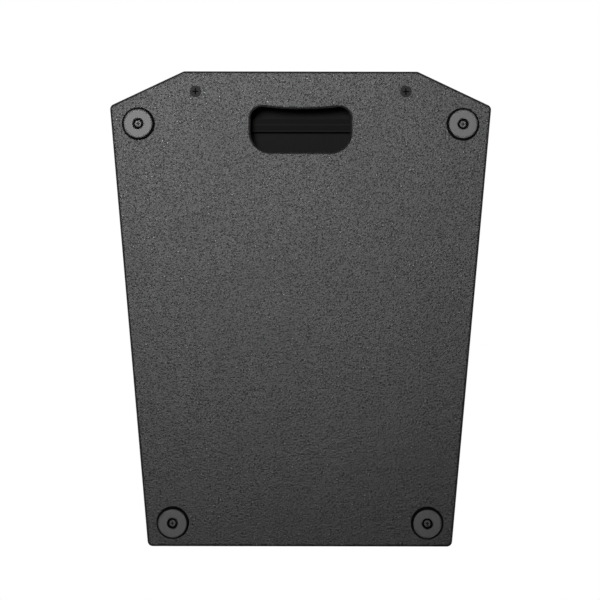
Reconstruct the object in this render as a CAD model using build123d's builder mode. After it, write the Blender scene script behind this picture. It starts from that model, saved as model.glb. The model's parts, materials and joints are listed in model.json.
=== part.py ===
from build123d import *

import os
from math import atan2, ceil, cos, hypot, pi, radians, sin, tan

# Stage monitor wedge: a plywood floor cabinet with a 12 inch coaxial loudspeaker behind a steel grille,
# a powered amplifier module in its rear, four rubber feet and a hand hole in its base.
# Frame: millimetres, +Z up, the listener's side faces -Y, the connectors face +Y.
# The origin is the middle of the footprint, on the plane that the feet stand on.

# --------------------------------------------------------------------- cabinet outline, seen from above
cabinet_length = 534.0  # front edge to rear edge
wide_width = 428.0  # across the widest line, where the sides meet the rear corner faces
narrow_width = 342.0  # across the front edge
rear_width = 262.0  # across the rear edge, between the two corner faces
corner_setback = 39.0  # from the rear edge forward to the widest line
plan_radius = 6.0  # rounding of the upright edges
edge_radius = 3.0  # rounding of every other outside edge

# --------------------------------------------------------------------------------- cabinet side profile
cabinet_height = 328.0  # base underside to the ridge
front_height = 58.0  # base underside to the top of the front strip
rear_height = 262.0  # base underside to the rear end of the top panel
baffle_angle = 41.0  # slope of the grille and baffle above the floor
wall = 15.0  # plywood of the cabinet panels
baffle_thickness = 18.0
baffle_recess = 26.0  # from the grille opening's plane down to the baffle's front face
rear_recess = 15.0  # from the rear edge forward to the rear panel's outer face
fit_gap = 0.2  # clearance between glued or screwed pieces that do not seal
quarter_arc = 1 - cos(pi / 4)  # share of its radius by which a quarter circle's middle cuts the corner
pick_margin = 0.1  # how near an edge or a face lies to the place it is picked by

# ------------------------------------------------------------------------------- feet and base hardware
foot_height = 12.0
foot_base_radius = 18.4
foot_face_radius = 16.2
foot_edge_radius = 1.8
foot_skirt = 2.4  # height of the upright band against the base
foot_bore_radius = 6.0
foot_bore_depth = 7.0
foot_bore_chamfer = 0.8
rear_foot_inset = 58.8  # from the rear edge
rear_foot_spacing = 363.6
front_foot_inset = 27.0  # from the front edge
front_foot_spacing = 286.2
foot_screw_head_radius = 4.1
foot_screw_head_height = 3.2
foot_screw_radius = 2.4
foot_screw_length = 17.0
screw_clearance = 0.2  # radial, round every screw shank
cross_width = 1.5  # cross recess in the larger screws
small_cross_width = 1.15  # cross recess in the smaller screws
cross_span_share = 1.1  # length of the recess, as a share of the head's radius
cross_depth_share = 0.55  # of the head's height
crown_share = 0.68  # radius of the flat crown, as a share of the head's radius
shoulder_share = 0.5  # height where the head starts to round over
crown_bulge = (0.75, 0.7)  # the rounding's middle, as shares of its width and height
panel_screw_spacing = 236.0
panel_screw_head_radius = 6.3
panel_screw_radius = 3.0
panel_screw_length = 50.0

# ----------------------------------------------------------------------------- hand hole and its pocket
hole_width = 112.4
hole_front_inset = 90.2  # from the rear edge to the hole's front edge
hole_rear_inset = 37.7  # from the rear edge to the hole's rear corners
hole_rear_bow = 4.6  # how far the gripped rear edge bows into the hole
hole_front_radius = 22.0
hole_rear_radius = 13.0
hole_lip_radius = 3.0
pocket_depth = 60.0  # from the base's inner face to the pocket's roof
pocket_board = 12.0
pocket_side_margin = 10.0
pocket_front_margin = 5.0
rail_rear_inset = 52.0  # from the rear edge to the rail's rear face
rail_drop = 20.0  # how far the rail hangs below the roof

# --------------------------------------------------------------------------------------- inner woodwork
batten_size = 18.0
batten_front = -200.0  # Y of the battens' ends
batten_rear = 120.0
brace_y = 130.0
brace_thickness = 12.0
brace_frame = 32.0  # wood left round the brace's window
wadding_thickness = 20.0
wadding_front = -150.0
wadding_rear = 118.0
wadding_height = 120.0

# ----------------------------------------------------------------------------------------------- grille
grille_thickness = 1.5
grille_fold = 16.0  # depth of the folded edge
grille_sink = 2.0  # grille face below the plane of the opening
grille_gap = 2.0
grille_corner_radius = 7.0
grille_edge_radius = 1.2
foam_gap = 0.5
foam_thickness = 4.0
cleat_width = 14.0
lower_cleat_length = 240.0
upper_cleat_length = 116.0
cleat_inset = 4.0  # from the folded edge to a cleat
grille_screw_head_radius = 4.2
grille_screw_head_height = 1.8
grille_screw_radius = 1.9
grille_screw_length = 15.0
grille_screw_inset = 10.0  # from a cleat's ends

# ------------------------------------------------------------ loudspeaker, in its own radius and height
# Heights are measured outwards from the baffle's front face.
driver_up_slope = 212.0  # from the front strip's top edge, along the slope
flange_width = 17.0  # the frame's rim outside the bowl
bolt_inset = 6.5  # from the rim's outer edge
bolt_count = 8
bolt_radius = 2.5
bolt_head_radius = 4.25
bolt_head_height = 4.0
bolt_length = 24.0
gasket_thickness = 1.5
flange_thickness = 6.5
cutout_clearance = 2.0
basket_radius = 139.0  # outside, where it passes through the baffle
basket_wall = 4.0
basket_straight = 18.0
basket_waist_radius = 92.0
basket_waist_height = -60.0
basket_foot_radius = 81.0
basket_floor_height = -78.0
basket_floor_thickness = 4.0
basket_window_count = 6
basket_window_height = 22.0
basket_window_width = 62.0
surround_shelf = 6.5  # width of the shelf that carries the surround
surround_shelf_height = 2.5
surround_shelf_thickness = 2.0
cone_lip = 5.0
cone_thickness = 1.5
cone_edge_height = -2.5
cone_neck_height = -47.0
surround_width = 10.5  # the corrugated stretch between the cone and the shelf
surround_thickness = 0.8
surround_wave = 1.2
surround_wave_count = 2.5
coil_radius = 38.0
former_thickness = 0.8
winding_thickness = 1.1
winding_length = 16.0
gap_clearance = 0.5
former_bottom = -97.0
spider_radius = 84.0
spider_lip = 7.0
spider_thickness = 0.8
spider_wave = 1.5
spider_wave_count = 5.5
spider_rise = 6.0  # from the basket's ledge up to the former
plate_radius = 70.0
magnet_radius = 76.0
magnet_bore_radius = 47.0
front_plate_thickness = 8.0
magnet_thickness = 18.0
back_plate_thickness = 10.0
throat_radius = 12.7
horn_wall = 2.5
horn_foot_radius = 26.0
horn_foot_thickness = 3.0
horn_mouth_radius = 52.0
horn_mouth_height = -12.0
horn_lip = 3.0
horn_bend_across = 0.34  # where the flare passes halfway, as a share of its width
horn_bend_height = 0.6  # and of its height
horn_bend_wall = 0.9  # the wall at that place, along each of its two directions, as a share of the wall
treble_radius = 45.0
treble_body_thickness = 38.0
treble_chamber_radius = 27.0
treble_chamber_depth = 9.0
dome_radius = 22.0
dome_rise = 6.0
dome_thickness = 0.6
dome_lip = 3.0
treble_cover_depth = 13.0
treble_cover_wall = 2.0
treble_cover_inset = 1.0  # from the driver's rim

# ----------------------------------------------------------------------------------------- reflex ports
port_radius = 29.0
port_wall = 2.5
port_flange_radius = 34.0
port_flange_thickness = 2.0
port_length = 110.0
port_across = 133.0
port_above_driver = 150.0
port_clearance = 0.3

# ------------------------------------------------------------------------------------- amplifier module
faceplate_width = 236.0
faceplate_height = 160.0
faceplate_thickness = 2.5
faceplate_base_gap = 66.0  # from the base's inner face to the faceplate's lower edge
faceplate_corner_radius = 3.0
faceplate_edge_radius = 0.6
module_width = 208.0
module_height = 134.0
module_depth = 72.0  # from the faceplate's back into the cabinet
module_clearance = 1.5  # round the module in the rear panel's opening
cover_wall = 1.5
faceplate_screw_inset = 6.0
faceplate_screw_head_radius = 3.6
faceplate_screw_head_height = 2.2
faceplate_screw_radius = 2.0
faceplate_screw_length = 14.0
heatsink_width = 90.0
heatsink_height = 128.0
heatsink_base = 3.0
heatsink_across = 60.0
fin_height = 8.0
fin_thickness = 2.2
fin_count = 12

# Places on the faceplate: across is world X, up is measured from the faceplate's middle.
socket_width = 26.0
socket_height = 31.0
socket_flange = 2.5
socket_corner_radius = 2.0
socket_edge_radius = 0.8
socket_barrel_radius = 11.8
socket_depth = 24.0
socket_up = 0.0
input_across = -88.0
link_across = -52.0
fit_clearance = 0.25  # round every part that passes through the faceplate
input_bore_radius = 9.6
insulator_radius = 7.9
insulator_sink = 3.0
socket_bore_depth = 17.0
jack_radius = 3.25
contact_radius = 0.9
contact_circle = 5.5
link_bore_radius = 8.2
pin_radius = 1.2
pin_length = 12.0
pin_circle = 4.0
latch_width = 7.0
latch_height = 2.4
latch_corner_radius = 0.6
latch_edge_radius = 0.4
latch_up = 13.3
latch_proud = 2.6
latch_length = 8.5
latch_travel = 1.8
latch_clearance = 0.35
inlet_across = -87.0
inlet_up = -50.0
inlet_width = 31.0
inlet_height = 25.0
inlet_flange = 2.0
inlet_opening_width = 24.6
inlet_opening_height = 17.0
inlet_opening_depth = 15.0
inlet_body_depth = 19.0
inlet_bevel = 4.0
inlet_corner_radius = 2.0
inlet_edge_radius = 0.8
blade_width = 2.0
blade_height = 4.0
blade_spacing = 7.0
blade_length = 12.0
blade_offset = 1.5  # the middle blade above and the outer two below the inlet's middle
switch_across = -46.0
switch_up = -50.0
switch_width = 15.0
switch_height = 21.0
switch_flange = 2.0
switch_wall = 1.4
switch_depth = 16.0
switch_corner_radius = 1.2
switch_edge_radius = 0.6
rocker_clearance = 0.4
rocker_back_gap = 1.0  # behind the rocker when it is pressed in
rocker_radius = 7.9
rocker_tilt = 9.0
rocker_pivot_depth = 3.0
rocker_tip_angle = 36.0
rocker_back_angle = 22.0
rocker_valley = 3.3
rocker_pin_radius = 1.2
rocker_pin_clearance = 0.2
knob_across = -87.0
knob_up = 46.0
knob_radius = 10.5
knob_height = 9.0
knob_float = 0.8  # above the faceplate
knob_flute_count = 15
knob_flute_radius = 1.1
knob_flute_shift = 0.4  # how far a flute's middle stands outside the knob, as a share of its radius
knob_edge = 0.5
knob_socket_depth = 6.3  # how far the shaft reaches into the knob
knob_mark_width = 1.2
knob_mark_depth = 0.8
shaft_radius = 3.0
shaft_clearance = 0.2
shaft_length = 15.0
pot_radius = 8.5
pot_depth = 9.0
button_spacing = 16.0
button_across = -52.0
button_up = 40.0
button_radius = 4.0
button_edge_radius = 0.8
button_proud = 3.0
button_length = 11.0
button_travel = 1.2
button_switch_size = 10.0
light_radius = 1.6
light_count = 4
light_spacing = 8.0
light_up = 58.0
light_length = 6.0
light_proud = 0.8
light_edge_share = 0.4  # rounding of a light's tip, as a share of its radius
input_board_depth = 27.0
input_board_width = 84.0
input_board_height = 112.0
input_board_across = -56.0
main_board_depth = 14.0
main_board_width = 96.0
main_board_height = 122.0
main_board_across = 50.0
board_thickness = 1.6
transformer_radius = 27.0
transformer_bore = 9.0
transformer_height = 28.0
transformer_edge_share = 0.25  # rounding of the winding, as a share of its height
capacitor_radius = 11.0
capacitor_height = 36.0
capacitor_pitch = 25.0
capacitor_up = 33.0
transformer_across = 12.0  # from the main board's middle
transformer_up = -27.0
device_width = 16.0
device_height = 20.0
device_thickness = 5.0
device_pitch_across = 25.6
device_pitch_up = 36.0

# ----------------------------------------------------------------------------------------- speaker lead
lead_radius = 3.0
lead_across = -40.0
lead_up = 27.0
lead_inside = 6.0  # how far the lead's end stands inside the module
lead_bend_share = 0.45
lead_straight = 26.0  # the lead's straight end above the terminals
terminal_size = (22.0, 10.0, 12.0)

# ======================================================================================= derived places
y_front = -cabinet_length / 2
y_rear = cabinet_length / 2
z_base = foot_height  # underside of the base panel
z_inside = z_base + wall
slope_sin = sin(radians(baffle_angle))
slope_cos = cos(radians(baffle_angle))
y_ridge = y_front + (cabinet_height - front_height) / tan(radians(baffle_angle))
z_ridge = z_base + cabinet_height
top_fall = atan2(cabinet_height - rear_height, y_rear - y_ridge)
slope_plane = Plane(
    origin=(0, y_front, z_base + front_height), x_dir=(1, 0, 0), z_dir=(0, -slope_sin, slope_cos)
)
top_plane = Plane(origin=(0, y_ridge, z_ridge), x_dir=(1, 0, 0), z_dir=(0, sin(top_fall), cos(top_fall)))
top_underside = top_plane.offset(-wall)
baffle_front = slope_plane.offset(-baffle_recess)
baffle_back = baffle_front.offset(-baffle_thickness)

outline_points = [
    (-narrow_width / 2, y_front),
    (narrow_width / 2, y_front),
    (wide_width / 2, y_rear - corner_setback),
    (rear_width / 2, y_rear),
    (-rear_width / 2, y_rear),
    (-wide_width / 2, y_rear - corner_setback),
]


def unit(start, end):
    """Unit vector from one plan point to another."""
    length = hypot(end[0] - start[0], end[1] - start[1])
    return (end[0] - start[0]) / length, (end[1] - start[1]) / length


def inset_corner(index, depth):
    """The outline's corner moved in so that it is the same depth from both edges that meet there."""
    before, at, after = (outline_points[(index + k) % len(outline_points)] for k in (-1, 0, 1))
    a, b = unit(before, at), unit(at, after)
    turn = a[0] * b[1] - a[1] * b[0]
    share = depth / turn
    return at[0] + share * (b[0] - a[0]), at[1] + share * (b[1] - a[1])


def inner_half_width(y):
    """Half of the clear width between the two side panels at a given Y."""
    start, end = inset_corner(1, wall), inset_corner(2, wall)
    return start[0] + (y - start[1]) * (end[0] - start[0]) / (end[1] - start[1])


def finish(builder, name):
    """Label a finished piece and write it to its own file."""
    builder.part.label = name
    export_step(builder.part, f"parts/{name}.step")


os.makedirs("parts", exist_ok=True)

# ================================================= cabinet envelope: the outside shape of the whole box
with BuildPart() as envelope:
    with BuildSketch(Plane.XY.offset(z_base)) as plan:
        with BuildLine():
            Polyline(*outline_points, close=True)
        make_face()
        fillet(plan.vertices(), plan_radius)
    extrude(amount=cabinet_height)
    with BuildSketch(Plane.YZ.offset(-wide_width)):
        with BuildLine():
            Polyline(
                (y_front, z_base),
                (y_rear, z_base),
                (y_rear, z_base + rear_height),
                (y_ridge, z_ridge),
                (y_front, z_base + front_height),
                close=True,
            )
        make_face()
    extrude(amount=2 * wide_width, mode=Mode.INTERSECT)
    base_face = envelope.faces().sort_by(Axis.Z)[0]
    slope_face = envelope.faces().filter_by(lambda f: f.normal_at().dot(slope_plane.z_dir) > 0.999)[0]
    top_face = envelope.faces().filter_by(lambda f: f.normal_at().dot(top_plane.z_dir) > 0.999)[0]
    rim = ShapeList(base_face.edges() + slope_face.edges() + top_face.edges())
    fillet(list({hash(edge): edge for edge in rim}.values()), edge_radius)


def wall_panel(name, plan_corners):
    """An upright panel between the base and the top panel, standing on a strip of the plan."""
    with BuildPart() as panel:
        with BuildSketch(Plane.XY.offset(z_inside)):
            with BuildLine():
                Polyline(*plan_corners, close=True)
            make_face()
        extrude(amount=cabinet_height)
        add(envelope.part, mode=Mode.INTERSECT)
        split(bisect_by=top_underside, keep=Keep.BOTTOM)
    finish(panel, name)


# --------------------------------------------------- front strip and sides, mitred at the upright edges
front_corners = [outline_points[0], outline_points[1], inset_corner(1, wall), inset_corner(0, wall)]
wall_panel("front_panel", front_corners)
right_corners = [outline_points[1], outline_points[2], inset_corner(2, wall), inset_corner(1, wall)]
wall_panel("side_panel_right", right_corners)
wall_panel("side_panel_left", [(-x, y) for x, y in right_corners])

# ----------------------------------------------- rear corner panels, square cut at the connector recess
corner_along = unit(outline_points[2], outline_points[3])
corner_end = (
    outline_points[3][0] - wall * corner_along[1],
    outline_points[3][1] + wall * corner_along[0],
)
corner_corners = [outline_points[2], outline_points[3], corner_end, inset_corner(2, wall)]
wall_panel("corner_panel_right", corner_corners)
wall_panel("corner_panel_left", [(-x, y) for x, y in corner_corners])


def corner_panel_inside(y):
    """X of the right corner panel's inner face at a given Y."""
    return corner_end[0] + (y - corner_end[1]) * corner_along[0] / corner_along[1]


# -------------------------------------------------------------------------------------------- top panel
with BuildPart() as top_panel:
    add(envelope.part)
    split(bisect_by=top_underside, keep=Keep.TOP)
finish(top_panel, "top_panel")

# ------------------------------------------------------------------------ base panel with the hand hole
foot_places = [(side * front_foot_spacing / 2, y_front + front_foot_inset) for side in (-1, 1)]
foot_places += [(side * rear_foot_spacing / 2, y_rear - rear_foot_inset) for side in (-1, 1)]
rear_panel_middle = y_rear - rear_recess - wall / 2
panel_screw_places = [(side * panel_screw_spacing / 2, rear_panel_middle) for side in (-1, 1)]
hole_half = hole_width / 2
hole_front_y = y_rear - hole_front_inset
hole_rear_y = y_rear - hole_rear_inset

with BuildPart() as base_panel:
    add(envelope.part)
    split(bisect_by=Plane.XY.offset(z_inside), keep=Keep.BOTTOM)
    with BuildSketch(Plane.XY.offset(z_base)) as hand_hole:
        with BuildLine():
            Polyline(
                (-hole_half, hole_rear_y),
                (-hole_half, hole_front_y),
                (hole_half, hole_front_y),
                (hole_half, hole_rear_y),
            )
            ThreePointArc(
                (hole_half, hole_rear_y), (0, hole_rear_y - hole_rear_bow), (-hole_half, hole_rear_y)
            )
        make_face()
        fillet(hand_hole.vertices().group_by(Axis.Y)[0], hole_front_radius)
        fillet(hand_hole.vertices().group_by(Axis.Y)[-1], hole_rear_radius)
    extrude(amount=wall, mode=Mode.SUBTRACT)
    hole_edges = base_panel.edges().filter_by_position(
        Axis.Y, hole_front_y - pick_margin, hole_rear_y + hole_rear_radius
    )
    hole_edges = hole_edges.filter_by_position(Axis.X, -hole_half - pick_margin, hole_half + pick_margin)
    fillet(hole_edges.filter_by_position(Axis.Z, z_base - pick_margin, z_base + pick_margin), hole_lip_radius)
    with Locations(*[(x, y, z_base) for x, y in foot_places]):
        Cylinder(
            foot_screw_radius + screw_clearance,
            wall,
            align=(Align.CENTER, Align.CENTER, Align.MIN),
            mode=Mode.SUBTRACT,
        )
    with Locations(*[(x, y, z_base) for x, y in panel_screw_places]):
        Cylinder(
            panel_screw_radius + screw_clearance,
            wall,
            align=(Align.CENTER, Align.CENTER, Align.MIN),
            mode=Mode.SUBTRACT,
        )
        Cone(
            panel_screw_head_radius + screw_clearance,
            panel_screw_radius + screw_clearance,
            panel_screw_head_radius - panel_screw_radius,
            align=(Align.CENTER, Align.CENTER, Align.MIN),
            mode=Mode.SUBTRACT,
        )
finish(base_panel, "base_panel")

# ---------------------------------------------------------------- rear panel, set in from the rear edge
rear_outer = y_rear - rear_recess
rear_inner = rear_outer - wall
faceplate_middle = z_inside + faceplate_base_gap + faceplate_height / 2
faceplate_back = Plane(origin=(0, rear_outer, faceplate_middle), x_dir=(1, 0, 0), z_dir=(0, -1, 0))
faceplate_screw_places = [
    (
        across * (faceplate_width / 2 - faceplate_screw_inset),
        up * (faceplate_height / 2 - faceplate_screw_inset),
    )
    for across in (-1, 0, 1)
    for up in (-1, 0, 1)
    if (across, up) != (0, 0)
]
panel_screw_grip = panel_screw_length - wall  # length of the screw that stands in the rear panel


def place(plane, across, up, height=0.0):
    """A copy of a plane with its origin moved within the plane and along its normal."""
    return Plane(
        origin=plane.from_local_coords((across, up, height)), x_dir=plane.x_dir, z_dir=plane.z_dir
    )


with BuildPart() as rear_panel:
    with BuildSketch(Plane.XY.offset(z_inside)):
        with BuildLine():
            Polyline(
                (-corner_panel_inside(rear_outer), rear_outer),
                (-corner_panel_inside(rear_inner), rear_inner),
                (corner_panel_inside(rear_inner), rear_inner),
                (corner_panel_inside(rear_outer), rear_outer),
                close=True,
            )
        make_face()
    extrude(amount=cabinet_height)
    split(bisect_by=top_underside, keep=Keep.BOTTOM)
    with BuildSketch(faceplate_back):
        Rectangle(module_width + 2 * module_clearance, module_height + 2 * module_clearance)
    extrude(amount=wall, mode=Mode.SUBTRACT)
    with BuildSketch(faceplate_back):
        with Locations(*faceplate_screw_places):
            Circle(faceplate_screw_radius + screw_clearance)
    extrude(amount=faceplate_screw_length, mode=Mode.SUBTRACT)
    with Locations(*[(x, y, z_inside) for x, y in panel_screw_places]):
        Cylinder(
            panel_screw_radius + screw_clearance,
            panel_screw_grip + screw_clearance,
            align=(Align.CENTER, Align.CENTER, Align.MIN),
            mode=Mode.SUBTRACT,
        )
finish(rear_panel, "rear_panel")

# -------------------------------------------------- room inside the cabinet, in front of the rear panel
with BuildPart() as room:
    with BuildSketch(Plane.XY.offset(z_inside)):
        with BuildLine():
            Polyline(
                inset_corner(0, wall),
                inset_corner(1, wall),
                inset_corner(2, wall),
                (corner_panel_inside(rear_inner), rear_inner),
                (-corner_panel_inside(rear_inner), rear_inner),
                (-inset_corner(2, wall)[0], inset_corner(2, wall)[1]),
                close=True,
            )
        make_face()
    extrude(amount=cabinet_height)
    split(bisect_by=top_underside, keep=Keep.BOTTOM)

# ------------------------------------------------ baffle with the driver cut-out and the two port holes
driver_face = place(baffle_front, 0, driver_up_slope)
port_places = [(side * port_across, port_above_driver) for side in (-1, 1)]
driver_radius = basket_radius + flange_width
bolt_circle = driver_radius - bolt_inset
bolt_angles = [2 * pi * (index + 0.5) / bolt_count for index in range(bolt_count)]
bolt_places = [(bolt_circle * cos(angle), bolt_circle * sin(angle)) for angle in bolt_angles]
cutout_radius = basket_radius + cutout_clearance
port_outside = port_radius + port_wall

with BuildPart() as baffle:
    with BuildSketch(baffle_back):
        Rectangle(2 * wide_width, 4 * cabinet_length)
    extrude(amount=baffle_thickness)
    add(room.part, mode=Mode.INTERSECT)
    with BuildSketch(driver_face):
        Circle(cutout_radius)
        with Locations(*port_places):
            Circle(port_outside + port_clearance)
        with Locations(*bolt_places):
            Circle(bolt_radius + screw_clearance)
    extrude(amount=-baffle_thickness, mode=Mode.SUBTRACT)
finish(baffle, "baffle")

# --------------------------------------------------------------------------- hand pocket above the hole
pocket_half = hole_half + pocket_side_margin
pocket_front_y = hole_front_y - pocket_front_margin
pocket_roof_z = z_inside + pocket_depth
pocket_outer_half = pocket_half + pocket_board


def rectangle_between(x_range, y_range):
    """A sketched rectangle between two corners."""
    with Locations((sum(x_range) / 2, sum(y_range) / 2)):
        Rectangle(x_range[1] - x_range[0], y_range[1] - y_range[0])


with BuildPart() as pocket_boards:
    with BuildSketch(Plane.XY.offset(z_inside)):
        rectangle_between(
            (-pocket_outer_half, pocket_outer_half), (pocket_front_y - pocket_board, pocket_front_y)
        )
    extrude(amount=pocket_depth)
    with BuildSketch(Plane.XY.offset(z_inside)):
        for side in (-1, 1):
            rectangle_between(
                sorted((side * pocket_half, side * pocket_outer_half)), (pocket_front_y, rear_inner)
            )
    extrude(amount=pocket_depth)
finish(pocket_boards, "pocket_boards")

with BuildPart() as pocket_roof:
    with BuildSketch(Plane.XY.offset(pocket_roof_z)):
        rectangle_between(
            (-pocket_outer_half, pocket_outer_half), (pocket_front_y - pocket_board, rear_inner)
        )
    extrude(amount=pocket_board)
finish(pocket_roof, "pocket_roof")

rail_rear_y = y_rear - rail_rear_inset
with BuildPart() as pocket_rail:
    with BuildSketch(Plane.XY.offset(pocket_roof_z)):
        rectangle_between((-pocket_half, pocket_half), (rail_rear_y - wall, rail_rear_y))
    extrude(amount=-rail_drop)
finish(pocket_rail, "pocket_rail")

# ----------------------------------------------------------------------------- brace across the cabinet
with BuildPart() as cabinet_brace:
    with BuildSketch(Plane.XZ.offset(-brace_y)):
        with Locations((0, z_inside + cabinet_height / 2)):
            Rectangle(2 * wide_width, 2 * cabinet_height)
    extrude(amount=-brace_thickness)
    add(room.part, mode=Mode.INTERSECT)
    split(bisect_by=baffle_back, keep=Keep.BOTTOM)
    brace_top = z_ridge - (brace_y + brace_thickness - y_ridge) * tan(top_fall) - wall / cos(top_fall)
    window_height = brace_top - z_inside - 2 * brace_frame
    with BuildSketch(Plane.XZ.offset(-brace_y)):
        with Locations((0, z_inside + brace_frame + window_height / 2)):
            RectangleRounded(2 * (inner_half_width(brace_y) - brace_frame), window_height, brace_frame / 2)
    extrude(amount=-brace_thickness, mode=Mode.SUBTRACT)
finish(cabinet_brace, "cabinet_brace")

# ------------------------------------------------------------- grille opening, seen square to the slope
opening_low = wall / slope_cos  # where the front panel's inner face meets the opening's plane
opening_high = (
    (cabinet_height - front_height) / slope_sin - wall / sin(radians(baffle_angle) + top_fall)
)


def slope_y(up, depth=0.0):
    """World Y of a point up the slope and below the opening's plane."""
    return y_front + up * slope_cos + depth * slope_sin


grille_low = opening_low + grille_gap
grille_high = opening_high - grille_gap
grille_low_half = inner_half_width(slope_y(grille_low)) - grille_gap
grille_high_half = inner_half_width(slope_y(grille_high)) - grille_gap
grille_top_plane = slope_plane.offset(-grille_sink)
grille_inner_plane = grille_top_plane.offset(-grille_thickness)


def grille_outline(margin):
    """Corners of the grille's outline, brought in by a margin on every side."""
    return [
        (-grille_low_half + margin, grille_low + margin),
        (grille_low_half - margin, grille_low + margin),
        (grille_high_half - margin, grille_high - margin),
        (-grille_high_half + margin, grille_high - margin),
    ]


# --------------------------------------------------- battens: two along the base, two behind the grille
lower_cleat_up = grille_low + grille_thickness + cleat_inset + cleat_width / 2
upper_cleat_up = grille_high - grille_thickness - cleat_inset - cleat_width / 2
cleat_rise = baffle_recess - grille_sink - grille_thickness
cleats = [(lower_cleat_up, lower_cleat_length), (upper_cleat_up, upper_cleat_length)]
grille_screw_places = [
    (share * (length / 2 - grille_screw_inset), up) for up, length in cleats for share in (-1, 0, 1)
]

with BuildPart() as battens:
    with BuildSketch(Plane.XY.offset(z_inside)):
        with BuildLine():
            Polyline(
                (inner_half_width(batten_front), batten_front),
                (inner_half_width(batten_rear), batten_rear),
                (inner_half_width(batten_rear) - batten_size, batten_rear),
                (inner_half_width(batten_front) - batten_size, batten_front),
                close=True,
            )
        make_face()
    extrude(amount=batten_size)
    mirror(about=Plane.YZ)
    with BuildSketch(baffle_front):
        for up, length in cleats:
            with Locations((0, up)):
                Rectangle(length, cleat_width)
    extrude(amount=cleat_rise)
    with Locations(*[place(grille_inner_plane, x, up) for x, up in grille_screw_places]):
        Cylinder(
            grille_screw_radius + screw_clearance,
            grille_screw_length,
            align=(Align.CENTER, Align.CENTER, Align.MAX),
            mode=Mode.SUBTRACT,
        )
finish(battens, "battens")

# ---------------------------------------------------- grille: a folded sheet, screwed to the two cleats
with BuildPart() as grille:
    with BuildSketch(grille_top_plane) as outside:
        Polygon(*grille_outline(0), align=None)
        fillet(outside.vertices(), grille_corner_radius)
    extrude(amount=-grille_fold)
    with BuildSketch(grille_inner_plane) as inside:
        Polygon(*grille_outline(grille_thickness), align=None)
        fillet(inside.vertices(), grille_corner_radius - grille_thickness)
    extrude(amount=-grille_fold, mode=Mode.SUBTRACT)
    with BuildSketch(grille_top_plane):
        with Locations(*grille_screw_places):
            Circle(grille_screw_radius + screw_clearance)
    extrude(amount=-grille_thickness, mode=Mode.SUBTRACT)
    face_rim = grille.faces().filter_by(lambda f: f.normal_at().dot(slope_plane.z_dir) > 0.999)
    fillet(face_rim.sort_by(SortBy.AREA)[-1].outer_wire().edges(), grille_edge_radius)
finish(grille, "grille")

with BuildPart() as grille_foam:
    foam_margin = grille_thickness + foam_gap
    foam_low = lower_cleat_up + cleat_width / 2 + foam_gap
    foam_high = upper_cleat_up - cleat_width / 2 - foam_gap
    foam_half = [inner_half_width(slope_y(up)) - grille_gap - foam_margin for up in (foam_low, foam_high)]
    with BuildSketch(grille_inner_plane.offset(-fit_gap)):
        Polygon(
            (-foam_half[0], foam_low),
            (foam_half[0], foam_low),
            (foam_half[1], foam_high),
            (-foam_half[1], foam_high),
            align=None,
        )
    extrude(amount=-foam_thickness)
finish(grille_foam, "grille_foam")


def screws(name, places, head_radius, head_height, shank_radius, length, slot, sunk=False):
    """A set of screws: each plane's origin is on the screw's axis at the underside of its head."""
    with BuildPart() as screw:
        with BuildSketch(Plane.XZ):
            with BuildLine():
                if sunk:
                    Polyline((shank_radius, 0), (head_radius, head_height), (0, head_height))
                else:
                    crown = head_radius * crown_share
                    shoulder = head_height * shoulder_share
                    Polyline((shank_radius, 0), (head_radius, 0), (head_radius, shoulder))
                    ThreePointArc(
                        (head_radius, shoulder),
                        (
                            crown + (head_radius - crown) * crown_bulge[0],
                            shoulder + (head_height - shoulder) * crown_bulge[1],
                        ),
                        (crown, head_height),
                    )
                    Line((crown, head_height), (0, head_height))
                Polyline((0, head_height), (0, -length), (shank_radius, -length), (shank_radius, 0))
            make_face()
        revolve(axis=Axis.Z)
        with BuildSketch(Plane.XY.offset(head_height)):
            Rectangle(head_radius * cross_span_share, slot)
            Rectangle(slot, head_radius * cross_span_share)
        extrude(amount=-head_height * cross_depth_share, mode=Mode.SUBTRACT)
    with BuildPart() as group:
        with Locations(*places):
            add(screw.part)
    finish(group, name)


screws(
    "grille_screws",
    [place(grille_top_plane, x, up) for x, up in grille_screw_places],
    grille_screw_head_radius,
    grille_screw_head_height,
    grille_screw_radius,
    grille_screw_length,
    small_cross_width,
)

# --------------------------------------------------- rubber feet, their screws and the two panel screws
foot_shank_clear = foot_screw_radius + screw_clearance
with BuildPart() as foot:
    with BuildSketch(Plane.XZ):
        with BuildLine():
            Polyline(
                (foot_shank_clear, foot_height),
                (foot_base_radius, foot_height),
                (foot_base_radius, foot_height - foot_skirt),
                (foot_face_radius, foot_edge_radius),
            )
            ThreePointArc(
                (foot_face_radius, foot_edge_radius),
                (foot_face_radius - foot_edge_radius * quarter_arc, foot_edge_radius * quarter_arc),
                (foot_face_radius - foot_edge_radius, 0),
            )
            Polyline(
                (foot_face_radius - foot_edge_radius, 0),
                (foot_bore_radius + foot_bore_chamfer, 0),
                (foot_bore_radius, foot_bore_chamfer),
                (foot_bore_radius, foot_bore_depth),
                (foot_shank_clear, foot_bore_depth),
                (foot_shank_clear, foot_height),
            )
        make_face()
    revolve(axis=Axis.Z)
with BuildPart() as rubber_feet:
    with Locations(*foot_places):
        add(foot.part)
finish(rubber_feet, "rubber_feet")

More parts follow.
